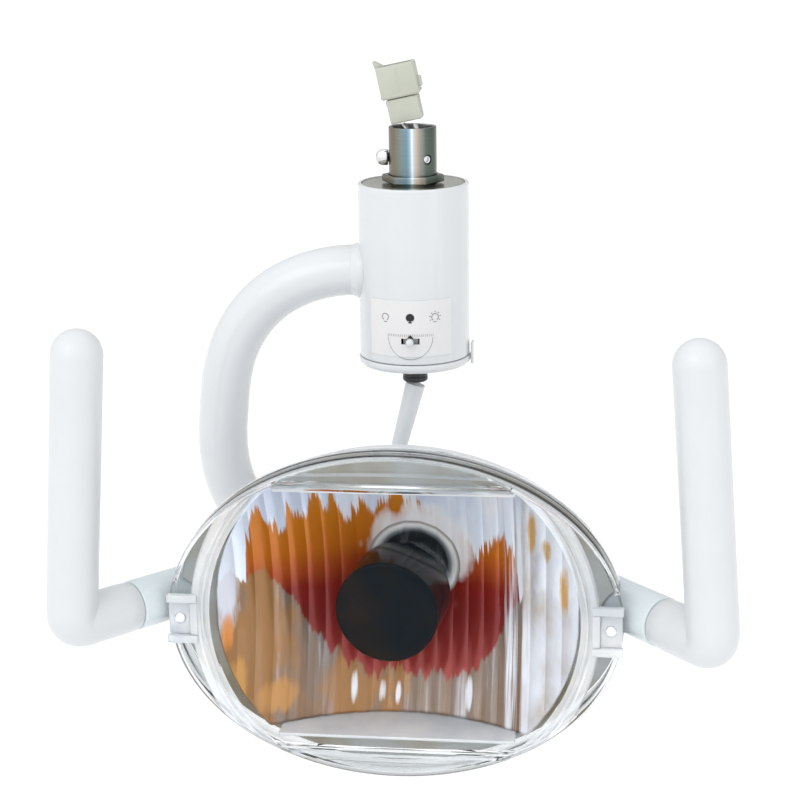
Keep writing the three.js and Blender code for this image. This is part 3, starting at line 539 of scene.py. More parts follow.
def rounded(profile, radius, steps=4):
    """The line of points with its corners turned into small arcs."""
    points = [Vector(p) for p in profile]
    out = [points[0]]
    for before, corner, after in zip(points, points[1:], points[2:]):
        back, on = before - corner, after - corner
        cut = min(radius, back.length * 0.48, on.length * 0.48)
        start = corner + back.normalized() * cut
        end = corner + on.normalized() * cut
        for i in range(steps + 1):
            t = i / steps
            out.append(start.lerp(corner, t).lerp(corner.lerp(end, t), t))
    out.append(points[-1])
    return out


def skin(rings, closed=False, ends=True):
    """Faces over rings of equally many corners. Closed joins the last ring to the first."""
    count = len(rings[0])
    corners = [point for ring in rings for point in ring]
    faces = []
    for i in range(len(rings) if closed else len(rings) - 1):
        a = i * count
        b = ((i + 1) % len(rings)) * count
        for j in range(count):
            k = (j + 1) % count
            faces.append((a + j, a + k, b + k, b + j))
    if ends and not closed:
        faces.append(tuple(reversed(range(count))))
        last = (len(rings) - 1) * count
        faces.append(tuple(range(last, last + count)))
    return corners, faces


def circle(count):
    return [2 * math.pi * j / count for j in range(count)]


def lathe(profile, place=Matrix(), closed=False, segments=SEGMENTS):
    rings = [[place @ Vector((r * math.cos(a), r * math.sin(a), h)) for a in circle(segments)]
             for r, h in profile]
    return skin(rings, closed, ends=False)


def sweep(points, radii, segments=48):
    """A round rod along a line of points, with a radius at each."""
    path = [Vector(p) for p in points]
    tangents = [(path[min(i + 1, len(path) - 1)] - path[max(i - 1, 0)]).normalized()
                for i in range(len(path))]
    side = tangents[0].orthogonal().normalized()
    rings = []
    for point, tangent, radius in zip(path, tangents, radii):
        side = (side - tangent * side.dot(tangent)).normalized()
        other = tangent.cross(side)
        rings.append([point + (side * math.cos(a) + other * math.sin(a)) * radius
                      for a in circle(segments)])
    return skin(rings)


def smooth_line(points, per_span=10):
    """A centripetal Catmull-Rom line through the points."""
    p = [Vector(q) for q in points]
    p = [p[0] * 2 - p[1]] + p + [p[-1] * 2 - p[-2]]
    out = []
    for a, b, c, d in zip(p, p[1:], p[2:], p[3:]):
        t0 = 0.0
        t1 = t0 + math.sqrt((b - a).length)
        t2 = t1 + math.sqrt((c - b).length)
        t3 = t2 + math.sqrt((d - c).length)
        for i in range(per_span):
            t = t1 + (t2 - t1) * i / per_span
            ab = a.lerp(b, (t - t0) / (t1 - t0))
            bc = b.lerp(c, (t - t1) / (t2 - t1))
            cd = c.lerp(d, (t - t2) / (t3 - t2))
            out.append(ab.lerp(bc, (t - t0) / (t2 - t0)).lerp(bc.lerp(cd, (t - t1) / (t3 - t1)),
                                                           (t - t1) / (t2 - t1)))
    out.append(p[-2])
    return out


def block(low, high, bevel=0.4, place=Matrix()):
    edit = bmesh.new()
    bmesh.ops.create_cube(edit, size=1)
    low, high = Vector(low), Vector(high)
    for v in edit.verts:
        v.co = Vector([low[i] + (v.co[i] + 0.5) * (high[i] - low[i]) for i in range(3)])
    if bevel:
        bmesh.ops.bevel(edit, geom=edit.edges[:], offset=bevel, segments=3, profile=0.5, affect="EDGES")
    edit.verts.index_update()
    corners = [place @ v.co for v in edit.verts]
    faces = [tuple(v.index for v in f.verts) for f in edit.faces]
    edit.free()
    return corners, faces


def prism(outline, low, high, place=Matrix()):
    rings = [[place @ Vector((x, y, z)) for x, y in outline] for z in (low, high)]
    return skin(rings)


def together(*shapes):
    corners, faces = [], []
    for more_corners, more_faces in shapes:
        start = len(corners)
        corners += list(more_corners)
        faces += [tuple(i + start for i in face) for face in more_faces]
    return corners, faces


def carve(target, *shapes):
    """Cuts the shapes out of a piece."""
    cutters = [solid(f"cutter_{i}", shape) for i, shape in enumerate(shapes)]
    for cutter in cutters:
        modifier = target.modifiers.new(cutter.name, "BOOLEAN")
        modifier.operation = "DIFFERENCE"
        modifier.solver = "EXACT"
        modifier.object = cutter
    bpy.context.view_layer.update()
    carved = bpy.data.meshes.new_from_object(
        target.evaluated_get(bpy.context.evaluated_depsgraph_get()))
    target.modifiers.clear()
    target.data = carved
    smooth_shade(carved, 35)
    for cutter in cutters:
        bpy.data.objects.remove(cutter)


TO_FRONT = Matrix.Rotation(math.radians(90), 4, "X")
TO_SIDE = Matrix.Rotation(math.radians(90), 4, "Y")


def at(x, y, z):
    return Matrix.Translation((x, y, z))


def turn_z(angle):
    return Matrix.Rotation(angle, 4, "Z")


# ---- camera, stage and lights ----

SOFTBOX_DIRECTION = (-0.25, -0.7, 0.65)
WORLD_BACK = 0.5
WORLD_SIDE = 0.9
WORLD_FRONT = 1.6
KEY_WATTS = 4
FILL_WATTS = 2
FLOOR_Z = -0.75

CAMERA_PLACE = (0.1256, -1.0774, 0.1405)
CAMERA_HEADING, CAMERA_PITCH, CAMERA_ROLL = (math.radians(turn) for turn in (7.11, 15.16, 0.77))
CAMERA_LENS = 90.24


def make_camera():
    data = bpy.data.cameras.new("camera")
    data.sensor_width = 36
    data.lens = CAMERA_LENS
    data.clip_end = 200
    camera = bpy.data.objects.new("camera", data)
    camera.matrix_world = (
        at(*CAMERA_PLACE)
        @ turn_z(CAMERA_HEADING)
        @ Matrix.Rotation(math.pi / 2 - CAMERA_PITCH, 4, "X")
        @ turn_z(-CAMERA_ROLL)
    )
    bpy.context.scene.collection.objects.link(camera)
    bpy.context.scene.camera = camera


def area_light(name, place, aim, size, watts, color=(1, 1, 1)):
    data = bpy.data.lights.new(name, "AREA")
    data.shape = "RECTANGLE"
    data.size, data.size_y = size
    data.energy = watts
    data.color = color
    light = bpy.data.objects.new(name, data)
    light.location = place
    light.rotation_euler = (Vector(aim) - Vector(place)).to_track_quat("-Z", "Y").to_euler()
    bpy.context.scene.collection.objects.link(light)


def make_stage():
    bpy.ops.mesh.primitive_plane_add(size=60, location=(0, 0, FLOOR_Z))
    floor = bpy.context.object
    floor.name = "floor"
    look = moulded("floor_paint", (0.95, 0.95, 0.95), 0.9, 0.005)
    floor.data.materials.append(look.material)
    head = (0, -0.1, TILT_Z * MM)
    area_light("key", (-0.9, -1.5, 1.0), head, (1.1, 1.1), KEY_WATTS, (1, 0.985, 0.96))
    area_light("fill", (1.5, -1.2, 0.2), head, (0.8, 1.6), FILL_WATTS, (0.95, 0.975, 1))
    world = bpy.data.worlds.new("studio")
    bpy.context.scene.world = world
    world.use_nodes = True
    tree = world.node_tree
    background = tree.nodes["Background"]
    coordinate = tree.nodes.new("ShaderNodeTexCoord")
    facing = tree.nodes.new("ShaderNodeVectorMath")
    facing.operation = "DOT_PRODUCT"
    facing.inputs[1].default_value = Vector(SOFTBOX_DIRECTION).normalized()
    tree.links.new(coordinate.outputs["Generated"], facing.inputs[0])
    spread = tree.nodes.new("ShaderNodeMapRange")
    spread.inputs["From Min"].default_value = -1
    tree.links.new(facing.outputs["Value"], spread.inputs["Value"])
    fade = tree.nodes.new("ShaderNodeValToRGB")
    elements = fade.color_ramp.elements
    elements[0].color = (*[WORLD_BACK] * 3, 1)
    elements[1].color = (*[WORLD_FRONT] * 3, 1)
    elements.new(0.5).color = (*[WORLD_SIDE] * 3, 1)
    tree.links.new(spread.outputs["Result"], fade.inputs["Fac"])
    tree.links.new(fade.outputs["Color"], background.inputs["Color"])
    bpy.context.scene.view_settings.view_transform = "Standard"


# ---- fixing end ----

LEAD_R = 1.15


def make_fixing_end():
    bore, outer = COLLAR_BORE_R, COLLAR_R
    foot = box_mm("mount_collar")[0].z
    profile = rounded([
        (bore, foot), (outer - 0.8, foot), (outer - 0.8, NUT_LOW_Z), (outer, NUT_LOW_Z), (outer, -0.1),
        (outer - 0.9, 0), (bore + 0.3, 0), (bore, -0.4), (bore, foot),
    ], 0.5)
    collar = piece("collar", lathe(profile), "mount_collar", ["mount_collar"])
    set_angle = -math.pi / 4

    def radial(angle, r, start, end):
        return lathe([(0, start), (r, start), (r, end), (0, end)],
                     at(0, 0, SCREW_Z) @ turn_z(angle) @ TO_SIDE, segments=40)

    carve(collar, radial(math.pi, 2.3, 8, 16), radial(set_angle, 2.7, 8, 16))

    # The corners lie on the X axis, as the frame's do.
    hexagon = [NUT_CORNER_R * math.cos(math.pi / 6)
               / math.cos(a % (math.pi / 3) - math.pi / 6) for a in circle(SEGMENTS)]

    def nut_ring(scale, z):
        return [Vector((r * scale * math.cos(a), r * scale * math.sin(a), z))
                for r, a in zip(hexagon, circle(SEGMENTS))]

    def round_ring(r, z):
        return [Vector((r * math.cos(a), r * math.sin(a), z)) for a in circle(SEGMENTS)]

    hole = outer + GAP
    nut = skin([
        round_ring(hole, NUT_LOW_Z), nut_ring(0.97, NUT_LOW_Z), nut_ring(1, NUT_LOW_Z + 0.5),
        nut_ring(1, NUT_HIGH_Z - 0.6), nut_ring(0.96, NUT_HIGH_Z), round_ring(hole + 0.5, NUT_HIGH_Z),
        round_ring(hole, NUT_HIGH_Z - 0.5),
    ], closed=True)
    piece("locknut", nut, "collar_locknut", ["collar_locknut"], sharp=25)

    dome = rounded([
        (0, 10.4), (2, 10.4), (2, 13.3), (4.3, 13.3), (4.5, 16), (3.9, 18.6), (2.1, 20.1), (0, 20.5),
    ], 1.0)
    piece("dome_screw", lathe(dome, at(0, 0, SCREW_Z) @ turn_z(math.pi) @ TO_SIDE, segments=48),
          "retaining_screw", ["retaining_screw"])
    grub = rounded([
        (0, 9.5), (2.3, 9.5), (2.3, 12.2), (1.9, 12.6), (1.25, 12.6), (1.15, 11.1), (0, 10.9),
    ], 0.2)
    piece("grub_screw", lathe(grub, at(0, 0, SCREW_Z) @ turn_z(set_angle) @ TO_SIDE, segments=36),
          "set_screw", ["set_screw"])


def make_connector():
    place = at(-2.5, 0, 3) @ Matrix.Rotation(math.radians(-12), 4, "Y")
    plug = piece("plug_body", together(
        block((-8.6, -6, 0), (8.6, 6, 13), 0.7, place),
        block((-9.1, -4, 9.6), (-8.3, 4, 12.2), 0.3, place),
        block((8.3, -2.4, 3), (9.0, 2.4, 11.5), 0.3, place),
    ), "connector_plug", ["connector_plug"])
    carve(plug, block((-7, 0.4, 1.6), (7, 8, 11.4), 0, place))
    socket_body = piece("socket_body", block((-10.6, -7, 13.4), (10.2, 7, 31), 1.1, place),
                        "connector_socket", ["connector_socket"])
    carve(socket_body, block((-8.6, -5.2, 17.4), (8.6, 5.2, 34), 0, place))
    latch = rounded([
        (-10.2, 24.5), (-10.9, 30), (-11.7, 34.4), (-11.2, 34.9), (-6.5, 31.2), (-6.4, 24.5),
    ], 0.4, 3)
    latch_place = place @ at(0, 3, 0) @ TO_FRONT
    piece("socket_trim", together(
        prism([(x, z) for x, z in latch], 0, 6, latch_place),
        block((9.6, -3, 16.6), (12, 3, 22.4), 0.8, place),
        block((-10.9, -7.15, 14.4), (10.5, 7.15, 15.4), 0.3, place),
        block((-0.6, -7.2, 17), (0.6, -6.6, 30), 0.25, place),
    ), "connector_socket")
    for side, name in ((-1, "lead_yellow"), (1, "lead_black")):
        line = smooth_line([
            (side * 3.4, 0, -48.8), (side * 3.4, 0, -34), (side * 3.2 + 1, -1, -14),
            (side * 2.6 + 0.4, -2, -4), (side * 3.2 - 1.9, -1, 1.2),
        ])
        piece(name + "_wire", sweep(line, [LEAD_R] * len(line), 20), name, [name])
        crimped = line[-14:]
        piece(name + "_crimp", sweep(crimped, [LEAD_R + 0.35] * len(crimped), 20),
              "contact_blade_left", body="mount")


# ---- swivel housing ----

def label_point(along, z, r):
    """A place on the label, from the distance along it and the height."""
    angle = -math.pi / 2 + math.radians(2) + along / HOUSING_R
    return Vector((r * math.cos(angle), r * math.sin(angle), z))


def label_strokes(lines, width, r):
    """Thin raised strokes that follow lines drawn on the label."""
    shapes = []
    for line in lines:
        points = [Vector(p) for p in line]
        rings = []
        for i, point in enumerate(points):
            on = (points[min(i + 1, len(points) - 1)] - points[max(i - 1, 0)]).normalized()
            across = Vector((-on.y, on.x)) * width / 2
            a, b = point + across, point - across
            rings.append([label_point(a.x, a.y, r), label_point(b.x, b.y, r),
                          label_point(b.x, b.y, r + 0.12), label_point(a.x, a.y, r + 0.12)])
        shapes.append(skin(rings))
    return together(*shapes)


def arc(centre, r, start, end, steps=24):
    return [(centre[0] + r * math.cos(math.radians(start + (end - start) * i / steps)),
             centre[1] + r * math.sin(math.radians(start + (end - start) * i / steps)))
            for i in range(steps + 1)]


def lamp_symbol(x, z, filled, rays):
    """A generic bulb: a round glass on a short base."""
    lines = [arc((x, z), 1.9, -60, 240), [(x - 0.9, z - 2.6), (x + 0.9, z - 2.6)]]
    if filled:
        lines += [arc((x, z), r, 0, 360) for r in (0.3, 0.75, 1.2, 1.6)]
        lines.append([(x, z - 1.6), (x, z - 2.8)])
    if rays:
        for a in range(-30, 211, 40):
            c, s = math.cos(math.radians(a)), math.sin(math.radians(a))
            lines.append([(x + 2.5 * c, z + 2.5 * s), (x + 3.4 * c, z + 3.4 * s)])
    return lines


def make_housing():
    r, inner = HOUSING_R, HOUSING_R - HOUSING_WALL
    wall = rounded([
        (inner, HOUSING_SEAM_Z), (r, HOUSING_SEAM_Z), (r, HOUSING_TOP_Z), (inner, HOUSING_TOP_Z),
    ], 1.1, 6) + [Vector((inner, HOUSING_SEAM_Z))]
    shell = piece("housing_wall", lathe(wall, segments=160), "housing_shell", ["housing_shell"])
    carve(shell, lathe([(0, -45), (ARM_R - 0.4, -45), (ARM_R - 0.4, -10), (0, -10)],
                       at(0, 0, ARM_ROOT_Z) @ TO_SIDE, segments=64),
          block((-9, -40, -119), (9, -20, -106), 0))

    plate = rounded([
        (COLLAR_R, HOUSING_TOP_Z - 4), (inner - 0.2, HOUSING_TOP_Z - 4),
        (inner - 0.2, HOUSING_TOP_Z - 0.5),
        (inner - 1.4, HOUSING_TOP_Z - 0.1), (20, HOUSING_TOP_Z - 0.4), (COLLAR_R, HOUSING_TOP_Z - 0.4),
        (COLLAR_R, HOUSING_TOP_Z - 4),
    ], 0.5)
    piece("housing_top", lathe(plate), "top_plate", ["top_plate"])

    lip = inner - GAP
    base = rounded([
        (8.4, HOUSING_BASE_Z), (r - 1, HOUSING_BASE_Z), (r + 0.6, HOUSING_BASE_Z + 1.8),
        (r + 0.6, HOUSING_SEAM_Z - GAP), (lip, HOUSING_SEAM_Z - GAP), (lip, HOUSING_SEAM_Z + 4),
        (lip - 2, HOUSING_SEAM_Z + 4), (lip - 2, HOUSING_SEAM_Z - 2), (8.4, HOUSING_SEAM_Z - 2),
        (8.4, HOUSING_BASE_Z),
    ], 0.9)
    piece("housing_base", lathe(base, segments=128), "base_cap", ["base_cap"])
    low, high = box_mm("base_catch")
    piece("catch_tab", block(low, high, 0.6), "base_catch", ["base_catch"])

    gland = rounded([
        (4.6, -142), (6.2, -142), (7, -141.2), (7, -139.4), (6.5, -139), (7, -138.6), (7, -136.6),
        (6.5, -136.2), (7, -135.8), (7, HOUSING_BASE_Z - GAP), (7.9, HOUSING_BASE_Z - GAP),
        (7.9, -125), (4.6, -125), (4.6, -142),
    ], 0.3)
    piece("gland", lathe(gland), "cable_gland", ["cable_gland"])

    bead = rounded([
        (ARM_R - 0.3, -34), (ARM_R + 0.4, -33.4), (ARM_R + 1.0, -31.6), (ARM_R + 2.0, -29.8),
        (ARM_R + 2.2, -26), (ARM_R - 0.3, -26), (ARM_R - 0.3, -34),
    ], 0.5)
    piece("arm_fillet", lathe(bead, at(0, 0, ARM_ROOT_Z) @ TO_SIDE), "arm_root_bead", ["arm_root_bead"])


def make_label():
    half = math.radians(45) * HOUSING_R
    plate_r = HOUSING_R + 0.05
    low, high = LABEL_LOW_Z, LABEL_HIGH_Z
    rows, columns = 12, 64

    def level(r):
        return [[label_point(-half + 2 * half * i / columns, low + (high - low) * j / rows, r)
                 for i in range(columns + 1)] for j in range(rows + 1)]

    front, back = level(plate_r + 0.35), level(plate_r)
    corners = [p for row in front + back for p in row]
    width = columns + 1
    shift = width * (rows + 1)
    faces = []
    for j in range(rows):
        for i in range(columns):
            a = j * width + i
            faces.append((a, a + 1, a + width + 1, a + width))
            faces.append((a + shift, a + width + shift, a + width + 1 + shift, a + 1 + shift))
    border = list(range(width))
    border += [j * width + columns for j in range(1, rows + 1)]
    border += [rows * width + i for i in range(columns - 1, -1, -1)]
    border += [j * width for j in range(rows - 1, 0, -1)]
    for a, b in zip(border, border[1:] + border[:1]):
        faces.append((b, a, a + shift, b + shift))
    label = piece("label", (corners, faces), "label_plate", ["label_plate"])
    toggle_z = box_mm("toggle_lever")[0].z + half_size("toggle_lever").z
    carve(label, block((-3.9, -40, toggle_z - 1.6), (6.1, -20, toggle_z + 1.6), 0))

    symbols_z = high - 9.4
    scale_z = high - 19.2
    ink_r = plate_r + 0.3
    fine = lamp_symbol(-13.9, symbols_z, False, False) + lamp_symbol(13.6, symbols_z, False, True)
    faint = [[(x * 1.03, scale_z - 0.7), (x * 1.03, scale_z + 0.7)] for x in range(-12, 13)]
    faint.append(arc((0, scale_z - 1.2), 12.2, 180, 360, 40))
    bold = lamp_symbol(0, symbols_z, True, False)
    piece("label_scale", label_strokes(faint, 0.28, ink_r), "label_plate", material=faint_ink)
    symbols = together(label_strokes(fine, 0.3, ink_r), label_strokes(bold, 0.8, ink_r))
    piece("label_symbols", symbols, "label_plate", material=print_ink)

    place = at(1.1, 0, toggle_z) @ TO_FRONT
    stem = rounded([(0, 15), (2.2, 16), (2.2, 18.4), (1.4, 19.4), (1.2, 25), (1.5, 32)], 0.8)
    stem.append(Vector((0, 32)))
    tip = rounded([(0, 31.6), (1.8, 31.6), (2.1, 33), (2.0, 35.2), (1.1, 36), (0, 36)], 0.5)
    piece("toggle_stem", lathe(stem, place, segments=32), "switch_body", ["toggle_lever"], body="toggle")
    piece("toggle_tip", lathe(tip, place, segments=32), "toggle_lever")
    shutter = []
    for r in (27.0, 27.8):
        shutter.append([label_point(x, z, r) for x in (-4.5, -3, -1.5, 0, 1.5, 3, 4.5)
                        for z in (toggle_z - 2.2, toggle_z + 2.2)])
    corners = shutter[0] + shutter[1]
    faces = []
    for i in range(0, 12, 2):
        faces += [(i, i + 1, i + 3, i + 2), (i + 14, i + 16, i + 17, i + 15),
                  (i, i + 2, i + 16, i + 14), (i + 1, i + 15, i + 17, i + 3)]
    faces += [(0, 14, 15, 1), (12, 13, 27, 26)]
    piece("toggle_shutter", (corners, faces), "toggle_lever")
    pointer = prism([(-1.7, 0), (1.7, 0), (0, 1.9)], ink_r - 0.2, ink_r + 0.25,
                    at(1.1, 0, toggle_z + 1.8) @ TO_FRONT)
    piece("slot_pointer", pointer, "label_plate", material=print_ink)


# ---- arm, cable and tilt joint ----

# The same points as the CAD's. Where the photograph shows the tube, a measuring program gave them
# from its edges, and arcs should have drawn this bend instead.
ARM_LINE = [
    (ARM_END_X, 0, ARM_ROOT_Z), (-38, 0, -79.8), (-50, 0, -81.6), (-64, 0, -86), (-79, 0, -94.3),
    (-90.4, 0, -105), (-98.4, 0, -116.5), (-104, 0, -129), (-107.4, 0, -143), (-109.4, 0, -160),
    (ARM_FAR_X, 0, -176), (-109.6, 0, -192), (-105.5, 0, -207), (-97, 0, -222), (-84, 0, -234.5),
    (-68, 0, -241.5), (-52, 0, TILT_Z), (-36, 0, TILT_Z), (ARM_END_X, 0, TILT_Z),
]
INLET_X = -6
CABLE_R = 3.3
RELIEF_TOP_Z = -144
RELIEF_TOP_R = 5.6
RELIEF_END_R = 4.3
CABLE_LINE = [
    (-10.9, -3, -186.2), (-12.3, -3.2, -191.8), (-13, -3, -197.5), (-12.9, -2.2, -203),
    (-11.2, -1.2, -208.5), (-8.6, -0.5, -213.5), (-6.5, 0, -218), (INLET_X, 0, -221.5),
    (INLET_X, 0, -226),
]


def make_arm():
    line = smooth_line(ARM_LINE, 12)
    piece("arm_tube", sweep(line, [ARM_R] * len(line), 80), "c_arm", ["c_arm"])
    ring = rounded([
        (9, ARM_END_X + GAP), (ARM_R + 1.2, ARM_END_X + GAP), (ARM_R + 1.2, ARM_END_X + 2.2),
        (9, ARM_END_X + 2.2), (9, ARM_END_X + GAP),
    ], 0.5)
    piece("arm_cap", lathe(ring, at(0, 0, TILT_Z) @ TO_SIDE), "arm_end_cap", ["arm_end_cap"])


def make_cable():
    top = Vector((0, 0, RELIEF_TOP_Z))
    end = Vector(CABLE_LINE[0]) + Vector((0, 0, 0.2))
    steps = 60
    line = [top.lerp(end, i / steps) for i in range(steps + 1)]
    radii = [RELIEF_TOP_R + (RELIEF_END_R - RELIEF_TOP_R) * i / steps for i in range(steps + 1)]
    piece("relief_sleeve", sweep(line, radii), "strain_relief", ["strain_relief"], sharp=60)

    path = smooth_line(CABLE_LINE, 10)
    cable = piece("head_cable", sweep(path, [CABLE_R] * len(path), 32), "lamp_cable", ["lamp_cable"],
                  body=False)
    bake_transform(cable)


def make_knuckle():
    place = at(0, 0, TILT_Z) @ TO_SIDE
    r, half = 17, 20
    barrel = rounded([(8.4, -half), (r - 0.8, -half), (r, -half + 0.8), (r, half), (8.4, half)], 0.8)
    barrel.append(barrel[0])
    flange_y = -SHELL_BACK_Y + 3.2
    neck = rounded([
        (0, 8), (12.6, 8), (12.6, flange_y), (22, flange_y), (22, flange_y + 2.4), (0, flange_y + 2.4),
    ], 0.7)
    piece("knuckle", together(lathe(barrel, place), lathe(neck, at(0, 0, TILT_Z) @ TO_FRONT)),
          "tilt_knuckle", ["tilt_knuckle"])
    cap = rounded([
        (0, 36), (r - 3, 36), (r, 33), (r, half + GAP), (r - 2, half + GAP), (r - 2, 32), (r - 4, 34),
        (0, 34),
    ], 1.4)
    piece("knuckle_cover", lathe(cap, place), "knuckle_cap", ["knuckle_cap"])
    inlet = rounded([
        (CABLE_R + 0.2, 13), (4.5, 13), (4.5, r + 0.4), (6.6, r + 0.4), (6.2, 19), (4.8, 21.5),
        (CABLE_R + 0.2, 21.5), (CABLE_R + 0.2, 13),
    ], 0.5)
    piece("inlet_boot", lathe(inlet, at(INLET_X, 0, TILT_Z), segments=48), "cable_inlet", ["cable_inlet"])


# ---- head ----

def ellipse_r(a, b):
    return lambda angle: a * b / math.hypot(b * math.cos(angle), a * math.sin(angle))


def window_r(angle):
    """The window's outline: flat above and below, arcs at the sides."""
    c, s = abs(math.cos(angle)), abs(math.sin(angle))
    to_arc = WINDOW_CENTRE_X * c + math.sqrt(WINDOW_R ** 2 - (WINDOW_CENTRE_X * s) ** 2)
    return min(to_arc, WINDOW_HALF_HEIGHT / s) if s > 1e-6 else to_arc


def head_ring(radius, depth, count=288):
    """One ring around the head's middle, from a radius and a depth for each direction."""
    ring = []
    for a in circle(count):
        r = radius(a)
        y = depth(a) if callable(depth) else depth
        ring.append(Vector((r * math.cos(a), y, TILT_Z + r * math.sin(a))))
    return ring


def handle_tool(side, r):
    inner = Vector((side * ROOT_INNER.x, ROOT_INNER.y, HANDLE_Z))
    corner = Vector((side * GRIP_CORNER.x, GRIP_CORNER.y, HANDLE_Z))
    return sweep([inner, corner], [r, r], 48)


def make_back_shell():
    # How much of the rim's width and height the shell has at each depth.
    stations = smooth_line([
        (0.25, 0.3, SHELL_BACK_Y), (0.42, 0.48, SHELL_BACK_Y - 1.5), (0.62, 0.68, SHELL_BACK_Y - 8.5),
        (0.82, 0.86, SHELL_BACK_Y - 22), (0.95, 0.97, SHELL_BACK_Y - 41), (1.0, 1.0, SHELL_RIM_Y),
    ], 6)
    outer = [head_ring(ellipse_r(SHELL_A * a, SHELL_B * b), y, 160) for a, b, y in stations]
    wall = SHELL_WALL
    inner = [head_ring(ellipse_r(SHELL_A * a - wall, SHELL_B * b - wall),
                       max(y - wall * (1 if a < 0.7 else 0.4), SHELL_RIM_Y), 160)
             for a, b, y in reversed(stations)]
    shell = piece("rear_shell", skin(outer + inner), "back_shell", ["back_shell"])
    cuts = [handle_tool(-1, HANDLE_HOLE_R), handle_tool(1, HANDLE_HOLE_R)]
    for side in (-1, 1):
        for i in range(3):
            x = side * (36 + i * 12)
            cuts.append(block((x - 1.6, -66, TILT_Z + 12), (x + 1.6, -20, TILT_Z + 44), 0))
        x = side * 108
        screw_hole = [(0, 40), (5.4, 40), (5.4, 68), (0, 68)]
        cuts.append(lathe(screw_hole, at(x, 0, HANDLE_Z) @ TO_FRONT, segments=32))
    cuts.append(lathe([(0, 10), (13, 10), (13, 60), (0, 60)], at(0, 0, TILT_Z) @ TO_FRONT, segments=64))
    carve(shell, *cuts)


def make_reflector():
    per_flute, rows = 8, 84
    columns = FLUTES * per_flute
    half = REFLECTOR_R - 0.4
    lamp_hole = 22.0
    corners, faces = [], []
    for i in range(columns + 1):
        x = -half + 2 * half * i / columns
        reach = min(REFLECTOR_HALF_HEIGHT, math.sqrt(max(REFLECTOR_R ** 2 - x * x, 0)))
        phase = (i % per_flute) / per_flute
        ridge = 1 - (2 * phase - 1) ** 2
        for j in range(rows + 1):
            z = -reach + 2 * reach * j / rows
            corners.append(Vector((x, mirror_y(x, z) - FLUTE_DEPTH * ridge * 0.55, TILT_Z + z)))
    width = rows + 1
    for i in range(columns):
        for j in range(rows):
            a = i * width + j
            middle = (corners[a] + corners[a + width + 1]) / 2
            if math.hypot(middle.x, middle.z - TILT_Z) > lamp_hole:
                faces.append((a, a + 1, a + width + 1, a + width))
    mirror = piece("mirror", (corners, faces), "reflector", ["reflector"], sharp=12)
    wall = mirror.modifiers.new("wall", "SOLIDIFY")
    wall.thickness = 1.2 * MM
    wall.offset = 0


def make_frame_and_shelves():
    hole_r = REFLECTOR_R - 2.7
    hole_half = REFLECTOR_HALF_HEIGHT + 2.6

    def hole(a):
        s = abs(math.sin(a))
        return min(hole_r, hole_half / s) if s > 1e-6 else hole_r

    back = box_mm("reflector_frame")[1].y
    front = box_mm("reflector_frame")[0].y
    edge = ellipse_r(HEAD_A - SHIELD_WALL - 0.6, HEAD_B - SHIELD_WALL - 0.6)
    plate = skin([
        head_ring(hole, back), head_ring(edge, back), head_ring(edge, front + 0.4),
        head_ring(lambda a: edge(a) - 0.4, front), head_ring(lambda a: hole(a) + 0.5, front),
        head_ring(hole, front + 0.5),
    ], closed=True)
    frame_piece = piece("mirror_frame", plate, "reflector_frame", ["reflector_frame"])
    carve(frame_piece, handle_tool(-1, HANDLE_HOLE_R), handle_tool(1, HANDLE_HOLE_R))

    half = SHELF_HALF
    shelf_front = RIM_Y + SHIELD_WALL + 2
    for side, name in ((-1, "lower_shelf"), (1, "upper_shelf")):
        outline = [(-half, shelf_front)]
        steps = 48
        for i in range(steps + 1):
            x = -half + 2 * half * i / steps
            outline.append((x, mirror_y(x, REFLECTOR_HALF_HEIGHT) + 3))
        outline.append((half, shelf_front))
        low, high = box_mm(name)
        shelf = piece(name + "_plate", prism(outline, low.z, high.z), name, [name], materials["frosted"])
        rounding = shelf.modifiers.new("edges", "BEVEL")
        rounding.width = 0.5 * MM
        rounding.segments = 3
        rounding.limit_method = "ANGLE"


def make_lamp():
    place = at(0, REFLECTOR_APEX_Y, TILT_Z) @ turn_z(LAMP_YAW) @ TO_FRONT
    ring = rounded([
        (20.5, -11), (23.5, -11), (23.5, 4.4), (22.9, 6), (21.3, 6.2), (20.5, 5.2), (20.5, -11),
    ], 0.5)
    piece("lamp_ring", lathe(ring, place, segments=128), "lamp_sleeve", ["lamp_sleeve"])
    back = CAP_FRONT - CAP_LENGTH
    cap = rounded([
        (0, CAP_FRONT), (CAP_R - 1.2, CAP_FRONT), (CAP_R, CAP_FRONT - 1.1), (CAP_R, back),
        (CAP_R - 1.4, back),
        (CAP_R - 1.4, CAP_FRONT - 3), (0, CAP_FRONT - 3),
    ], 0.7, 6)
    piece("lamp_cap", lathe(cap, place, segments=144), "bulb_cap", ["bulb_cap"])
    for i in range(3):
        a = math.pi / 2 + i * 2 * math.pi / 3
        stay = block((23.9, -1.7, 1), (25.1, 1.7, CAP_FRONT - 6), 0.3, place @ turn_z(a))
        piece(f"stay_{i + 1}", stay, f"cap_stay_{i + 1}", [f"cap_stay_{i + 1}"])
    bulb = rounded([(0, 1.4), (5, 3), (6, 7), (6, 25), (4.2, 30), (1.2, 32.6), (0, 33)], 2.0)
    piece("bulb_glass", lathe(bulb, place, segments=48), "halogen_bulb", ["halogen_bulb"])


